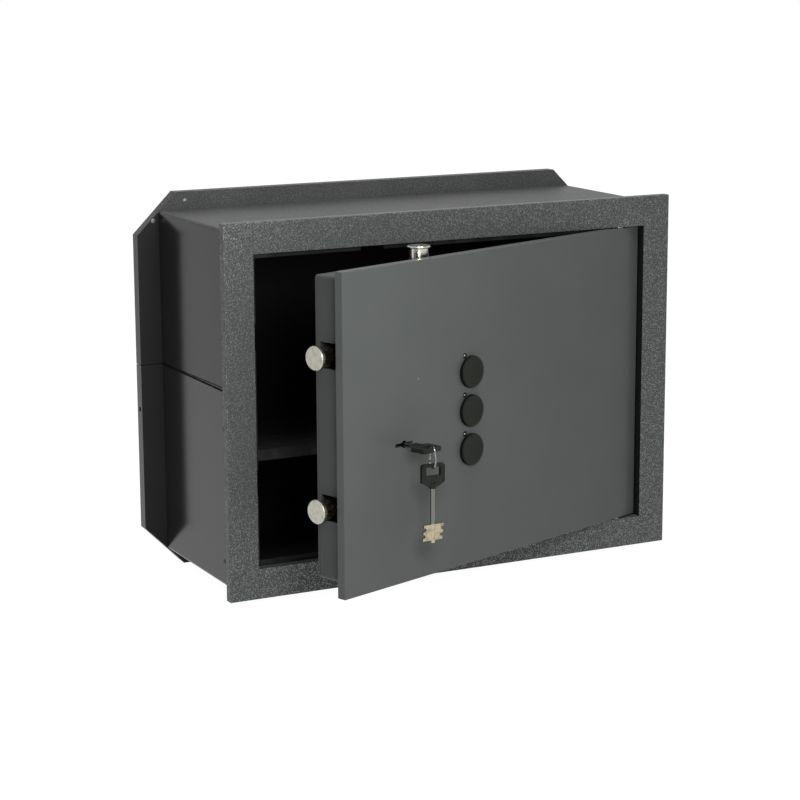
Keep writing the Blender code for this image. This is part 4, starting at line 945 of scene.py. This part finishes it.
@dataclass
class Door:
    """Door plate, lock box with its cover, index pins and the inner works fixed to the door."""

    swing: float = radians(19.8)
    pivot: Point = (0.1765, -0.1815, 0.0)
    pivot_depth: float = 0.0045
    chip_at: Pair = (-0.1078, 0.0379)
    knob_x: float = -0.0405
    knob_heights: tuple[float, ...] = (0.0348, -0.0004, -0.0356)
    index_left: float = 0.0068
    index_up: float = 0.0148
    bush_inner: float = 0.00145
    bush_outer: float = 0.00250
    bush_height: float = 0.0002
    bush_foot: float = -0.001
    bush_sides: int = 28
    bush_color: Color = (0.010, 0.011, 0.010)
    box_color: Color = (0.050, 0.053, 0.052)
    box_low_color: Color = (0.044, 0.047, 0.046)

    def place(self, x: float, depth: float, z: float) -> Point:
        """Turn a place on the closed door into the frame's coordinates."""
        across = x - self.pivot[0]
        inward = depth - self.pivot_depth
        return (
            self.pivot[0] + across * cos(self.swing) - inward * sin(self.swing),
            self.pivot[1] + across * sin(self.swing) + inward * cos(self.swing),
            z,
        )

    def turn(self, x: float, depth: float, z: float) -> Point:
        """Turn a direction on the closed door into the frame's."""
        return (
            x * cos(self.swing) - depth * sin(self.swing),
            x * sin(self.swing) + depth * cos(self.swing),
            z,
        )

    def bushes(self) -> None:
        """Black bushes that hold the index pins, one piece."""
        mesh = bmesh.new()
        inner, outer, rise, foot = self.bush_inner, self.bush_outer, self.bush_height, self.bush_foot
        middle = (inner + outer) / 2
        rim = [(inner, rise / 4), (middle, rise), (outer, rise / 4)]
        profile = [(inner, foot), *rim, (outer, foot), (inner, foot)]
        for z in self.knob_heights:
            at = self.place(self.knob_x - self.index_left, 0, z + self.index_up)
            turned(mesh, profile, at, self.turn(0, -1, 0), self.bush_sides)
        bmesh.ops.remove_doubles(mesh, verts=mesh.verts, dist=MERGE_DISTANCE)
        finish = Plastic("bush_plastic", self.bush_color, roughness=0.45)
        new_piece("index_bushes", mesh, Body.DOOR, finish.material())

    def build(self) -> None:
        """Dress the door and add the bushes of its index pins."""
        chip_x, chip_z = self.chip_at
        dress(SatinPaint(chip=self.place(chip_x, 0, chip_z)).material(), "door_plate")
        box_paint = SatinPaint("box_paint", self.box_color, self.box_low_color, roughness=0.48)
        dress(box_paint.material(), "lock_box", "rear_cover")
        dress(STEEL, *numbered("index_pin", 3))
        dress(ZINC, *numbered("cover_screw", 4), *numbered("guide_stud", 4), "lock_case")
        dress(BRASS, "lever_pack")
        self.bushes()


@dataclass
class BoltWork:
    """Locking bolts, carriage, fence, lock bolt and the knobs' inner works."""

    door: Door
    bolt_depth: float = 0.0242
    side_bolt_heights: tuple[tuple[str, float], ...] = (("upper", 0.067), ("lower", -0.0655))
    side_shank_x: float = -0.2060
    top_bolt_x: float = -0.0807
    top_shank_z: float = 0.1470
    top_roughness: float = 0.15
    # Dark brown shank colour of the side bolts: painted shade and painted dark reflection from the box round
    # them.
    side_shank_painted_shade: Color = (0.120, 0.105, 0.070)
    polished: Color = (0.56, 0.55, 0.48)

    def build(self) -> None:
        """Dress the bolt work."""
        outward = self.door.turn(1, 0, 0)
        for word, z in self.side_bolt_heights:
            start = self.door.place(self.side_shank_x, self.bolt_depth, z)
            # The side bolts' shanks take the painted shade colour.
            finish = TurnedNickel("nickel_side_" + word, start, outward, self.side_shank_painted_shade)
            dress(finish.material(), "side_bolt_" + word)
        start = self.door.place(self.top_bolt_x, self.bolt_depth, self.top_shank_z)
        finish = TurnedNickel("nickel_top", start, (0, 0, -1), self.polished, roughness=self.top_roughness)
        dress(finish.material(), "top_bolt")
        dress(ZINC, "carriage_plate", "fence", "side_bolt_nut_upper", "side_bolt_nut_lower", "top_bolt_rod")
        dress(ZINC, *numbered("spindle", 3), *numbered("wheel_nut", 3))
        dress(BRASS, "lock_bolt", *numbered("wheel", 3))


@dataclass
class Knobs:
    """The three black combination knobs, with fluted rims and a shallow dished face."""

    door: Door
    color: Color = (0.0068, 0.0090, 0.0060)
    roughness: float = 0.44
    radius: float = 0.0145
    height: float = 0.0042
    gap: float = 0.0003
    edge: float = 0.0011
    edge_share: float = 0.35
    edge_drop: float = 0.30
    flutes: int = 42
    steps_per_flute: int = 4
    flute_depth: float = 0.0007
    flute_start: float = 0.3
    back_round: float = 0.0004
    # Share of the edge below which the knob's sides take painted shade.
    dark_below: float = 0.2
    dish_radius: float = 0.0112
    dish_depth: float = 0.00012
    dish_floor: float = 0.0006
    dish_lip: float = 0.0003
    dish_share: float = 0.4

    def profile(self) -> list[Point]:
        """Outline of a knob from the middle of its face to the middle of its back."""
        top, depth, edge = self.height, self.flute_depth, self.edge
        dish, drop = self.dish_radius, self.dish_depth
        return [
            (0, top - drop, 0),
            (dish - self.dish_floor, top - drop, 0),
            (dish, top - drop * self.dish_share, 0),
            (dish + self.dish_lip, top, 0),
            (self.radius - edge, top, 0),
            (self.radius - edge * self.edge_share, top - edge * self.edge_drop, depth * self.flute_start),
            (self.radius, top - edge, depth),
            (self.radius, self.gap + self.back_round, depth),
            (self.radius - self.back_round, self.gap, depth),
            (0, self.gap, 0),
        ]

    def build(self) -> None:
        """Build the knobs over their solids."""
        # The plane below which the knob's rim and fluted sides are painted near black as shade.
        rim = self.door.place(self.door.knob_x, -(self.height - self.edge * self.dark_below), 0)
        out = self.door.turn(0, -1, 0)
        material = Plastic("knob_plastic", self.color, self.roughness, plane=rim, upward=out).material()
        bodies = (Body.KNOB_SET_1, Body.KNOB_SET_2, Body.KNOB_SET_3)
        for number, (body, z) in enumerate(zip(bodies, self.door.knob_heights), 1):
            mesh = bmesh.new()
            at = self.door.place(self.door.knob_x, 0, z)
            fluted(mesh, self.profile(), at, out, self.flutes, self.steps_per_flute)
            knob = new_piece(f"fluted_knob_{number}", mesh, body, material)
            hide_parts(f"knob_{number}")


@dataclass
class KeySet:
    """The key in the lock, the split ring and the spare key on it."""

    door: Door
    key_x: float = -0.126
    key_z: float = -0.017
    bit_start_depth: float = 0.0165
    spare_bit_height: float = 0.0167
    head_color: Color = (0.010, 0.012, 0.010)
    ring_centre: Point = (-0.095346, -0.319439, -0.023233)
    ring_axis: Point = (0.978148, -0.207912, 0.0)
    ring_radius: float = 0.0096
    wire_width: float = 0.00052
    wire_height: float = 0.00075
    wire_fill: float = 0.94
    turns: float = 1.94
    steps_per_turn: int = 56
    start_angle: float = 0.9
    cross_over: float = 3.2
    end_size: float = 0.45
    end_steps: int = 5

    def ring(self) -> None:
        """Split ring: a flat wire wound almost twice, its two turns side by side."""
        mesh = bmesh.new()
        axis = Vector(self.ring_axis).normalized()
        first = Vector((0, 0, 1))
        second = axis.cross(first)
        steps = int(self.turns * self.steps_per_turn)
        corners = [(cos(a), sin(a)) for a in (pi * (2 * corner + 1) / 8 for corner in range(8))]
        path = []
        sections = []
        for step in range(steps + 1):
            turn = step / self.steps_per_turn
            angle = 2 * pi * turn + self.start_angle
            out = first * cos(angle) + second * sin(angle)
            shift = (turn - self.turns / 2) / self.turns * 2
            side = max(-1, min(1, shift * self.cross_over)) * self.wire_width
            path.append(Vector(self.ring_centre) + out * self.ring_radius + axis * side)
            nearest_end = min(step / self.end_steps, (steps - step) / self.end_steps)
            taper = min(1, self.end_size + nearest_end)
            width, height = self.wire_width * self.wire_fill, self.wire_height * taper
            sections.append([axis * (width * c) + out * (height * s) for c, s in corners])
        swept(mesh, path, sections)
        ring = new_piece("split_ring_coil", mesh, Body.KEY_RING, STEEL)
        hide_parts("split_ring")

    def build(self) -> None:
        """Dress the keys and build the ring."""
        key_start = self.door.place(self.key_x, self.bit_start_depth, self.key_z)
        dress(KeyMetal("key_metal", key_start, self.door.turn(0, 1, 0)).material(), "key_blade")
        low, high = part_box("spare_key_blade")
        spare_start = ((low.x + high.x) / 2, (low.y + high.y) / 2, low.z + self.spare_bit_height)
        dress(KeyMetal("spare_key_metal", spare_start, (0, 0, -1)).material(), "spare_key_blade")
        plastic = Plastic("key_plastic", self.head_color, roughness=0.33)
        dress(plastic.material(), "key_head", "spare_key_head")
        self.ring()


@dataclass
class Studio:
    """Pale floor, white surroundings and soft lamps."""

    floor_z: float = -0.1793
    floor_half: float = 4.0
    floor_color: Color = (0.85, 0.85, 0.85)
    floor_share: float = 0.72
    floor_glow: float = 1.36
    ambient: float = 0.22
    aim: Point = (0, -0.15, 0)
    lamps: tuple[tuple[str, Point, float, float], ...] = (
        ("key_softbox", (-0.28, -0.86, 0.26), 0.22, 4.0),
        ("high_softbox", (0.02, -0.46, 0.95), 0.45, 5.6),
    )

    def world(self) -> None:
        """White surroundings for the eye and for reflections, softer for the light they give."""
        world = bpy.data.worlds.new("surroundings")
        bpy.context.scene.world = world
        world.use_nodes = True
        tree = world.node_tree
        background = tree.nodes["Background"]
        background.inputs["Color"].default_value = (1, 1, 1, 1)
        tree.links.new(self.seen(tree, self.ambient), background.inputs["Strength"])

    def seen(self, tree: bpy.types.NodeTree, otherwise: float) -> Socket:
        """Add nodes that tell rays of the eye, of gloss and of glass from the rest.

        Args:
            tree: Node tree.
            otherwise: Value for the other rays.

        Returns:
            An output that is 1 for those rays and `otherwise` for the rest.
        """
        path = tree.nodes.new("ShaderNodeLightPath")
        value = path.outputs["Is Camera Ray"]
        for name in ("Is Glossy Ray", "Is Transmission Ray"):
            most = tree.nodes.new("ShaderNodeMath")
            most.operation = "MAXIMUM"
            tree.links.new(value, most.inputs[0])
            tree.links.new(path.outputs[name], most.inputs[1])
            value = most.outputs[0]
        most = tree.nodes.new("ShaderNodeMath")
        most.operation = "MAXIMUM"
        tree.links.new(value, most.inputs[0])
        most.inputs[1].default_value = otherwise
        return most.outputs[0]

    def floor(self) -> None:
        """Plain pale floor that keeps a soft shadow."""
        mesh = bmesh.new()
        bmesh.ops.create_grid(mesh, x_segments=8, y_segments=8, size=self.floor_half)
        data = bpy.data.meshes.new("floor")
        mesh.to_mesh(data)
        mesh.free()
        obj = bpy.data.objects.new("floor", data)
        obj.location = (0, 0, self.floor_z)
        bpy.context.scene.collection.objects.link(obj)
        material = bpy.data.materials.new("pale_floor")
        material.use_nodes = True
        tree = material.node_tree
        tree.nodes.clear()
        matt = tree.nodes.new("ShaderNodeBsdfDiffuse")
        matt.inputs["Color"].default_value = (*self.floor_color, 1)
        glow = tree.nodes.new("ShaderNodeEmission")
        glow.inputs["Strength"].default_value = self.floor_glow
        share = tree.nodes.new("ShaderNodeMath")
        share.operation = "MULTIPLY"
        tree.links.new(self.seen(tree, 0.0), share.inputs[0])
        share.inputs[1].default_value = self.floor_share
        blend = tree.nodes.new("ShaderNodeMixShader")
        tree.links.new(share.outputs[0], blend.inputs[0])
        tree.links.new(matt.outputs[0], blend.inputs[1])
        tree.links.new(glow.outputs[0], blend.inputs[2])
        output = tree.nodes.new("ShaderNodeOutputMaterial")
        tree.links.new(blend.outputs[0], output.inputs[0])
        data.materials.append(material)

    def light(self) -> None:
        """Hang the lamps, each aimed at the safe."""
        for name, place, size, power in self.lamps:
            data = bpy.data.lights.new(name, "AREA")
            data.shape = "SQUARE"
            data.size = size
            data.energy = power
            lamp = bpy.data.objects.new(name, data)
            lamp.location = place
            lamp.rotation_euler = (Vector(self.aim) - Vector(place)).to_track_quat("-Z", "Y").to_euler()
            lamp.visible_camera = False
            bpy.context.scene.collection.objects.link(lamp)

    def build(self) -> None:
        """Set the studio up."""
        bpy.context.scene.view_settings.view_transform = "Standard"
        self.world()
        self.floor()
        self.light()
        LOG.info("studio: %d lamps", len(self.lamps))


@dataclass
class PhotoCamera:
    """Camera that stands where the photograph was taken."""

    place: Point = (-0.97745, -2.00140, 0.42055)
    yaw: float = radians(26.844)
    pitch: float = radians(11.714)
    roll: float = -0.0048
    focal_pixels: float = 2284.57
    sensor: float = 36.0

    def build(self) -> None:
        """Make the camera."""
        across = cos(self.pitch)
        forward = Vector((sin(self.yaw) * across, cos(self.yaw) * across, -sin(self.pitch)))
        level = Vector((cos(self.yaw), -sin(self.yaw), 0))
        upward = level.cross(forward)
        right = level * cos(self.roll) + upward * sin(self.roll)
        above = upward * cos(self.roll) - level * sin(self.roll)
        data = bpy.data.cameras.new("photo_camera")
        data.sensor_width = self.sensor
        data.lens = self.sensor * self.focal_pixels / PHOTO_SIDE
        camera = bpy.data.objects.new("photo_camera", data)
        turn = Matrix((right, above, -forward)).transposed()
        camera.matrix_world = Matrix.Translation(self.place) @ turn.to_4x4()
        bpy.context.scene.collection.objects.link(camera)
        bpy.context.scene.camera = camera



def main() -> None:
    """Dress the safe, build its small pieces, and set up the studio and the camera."""
    logging.basicConfig(level=logging.INFO, format="%(message)s")
    door = Door()
    Housing().build()
    door.build()
    BoltWork(door).build()
    Knobs(door).build()
    KeySet(door).build()
    Studio().build()
    PhotoCamera().build()


if __name__ == "__main__":
    main()
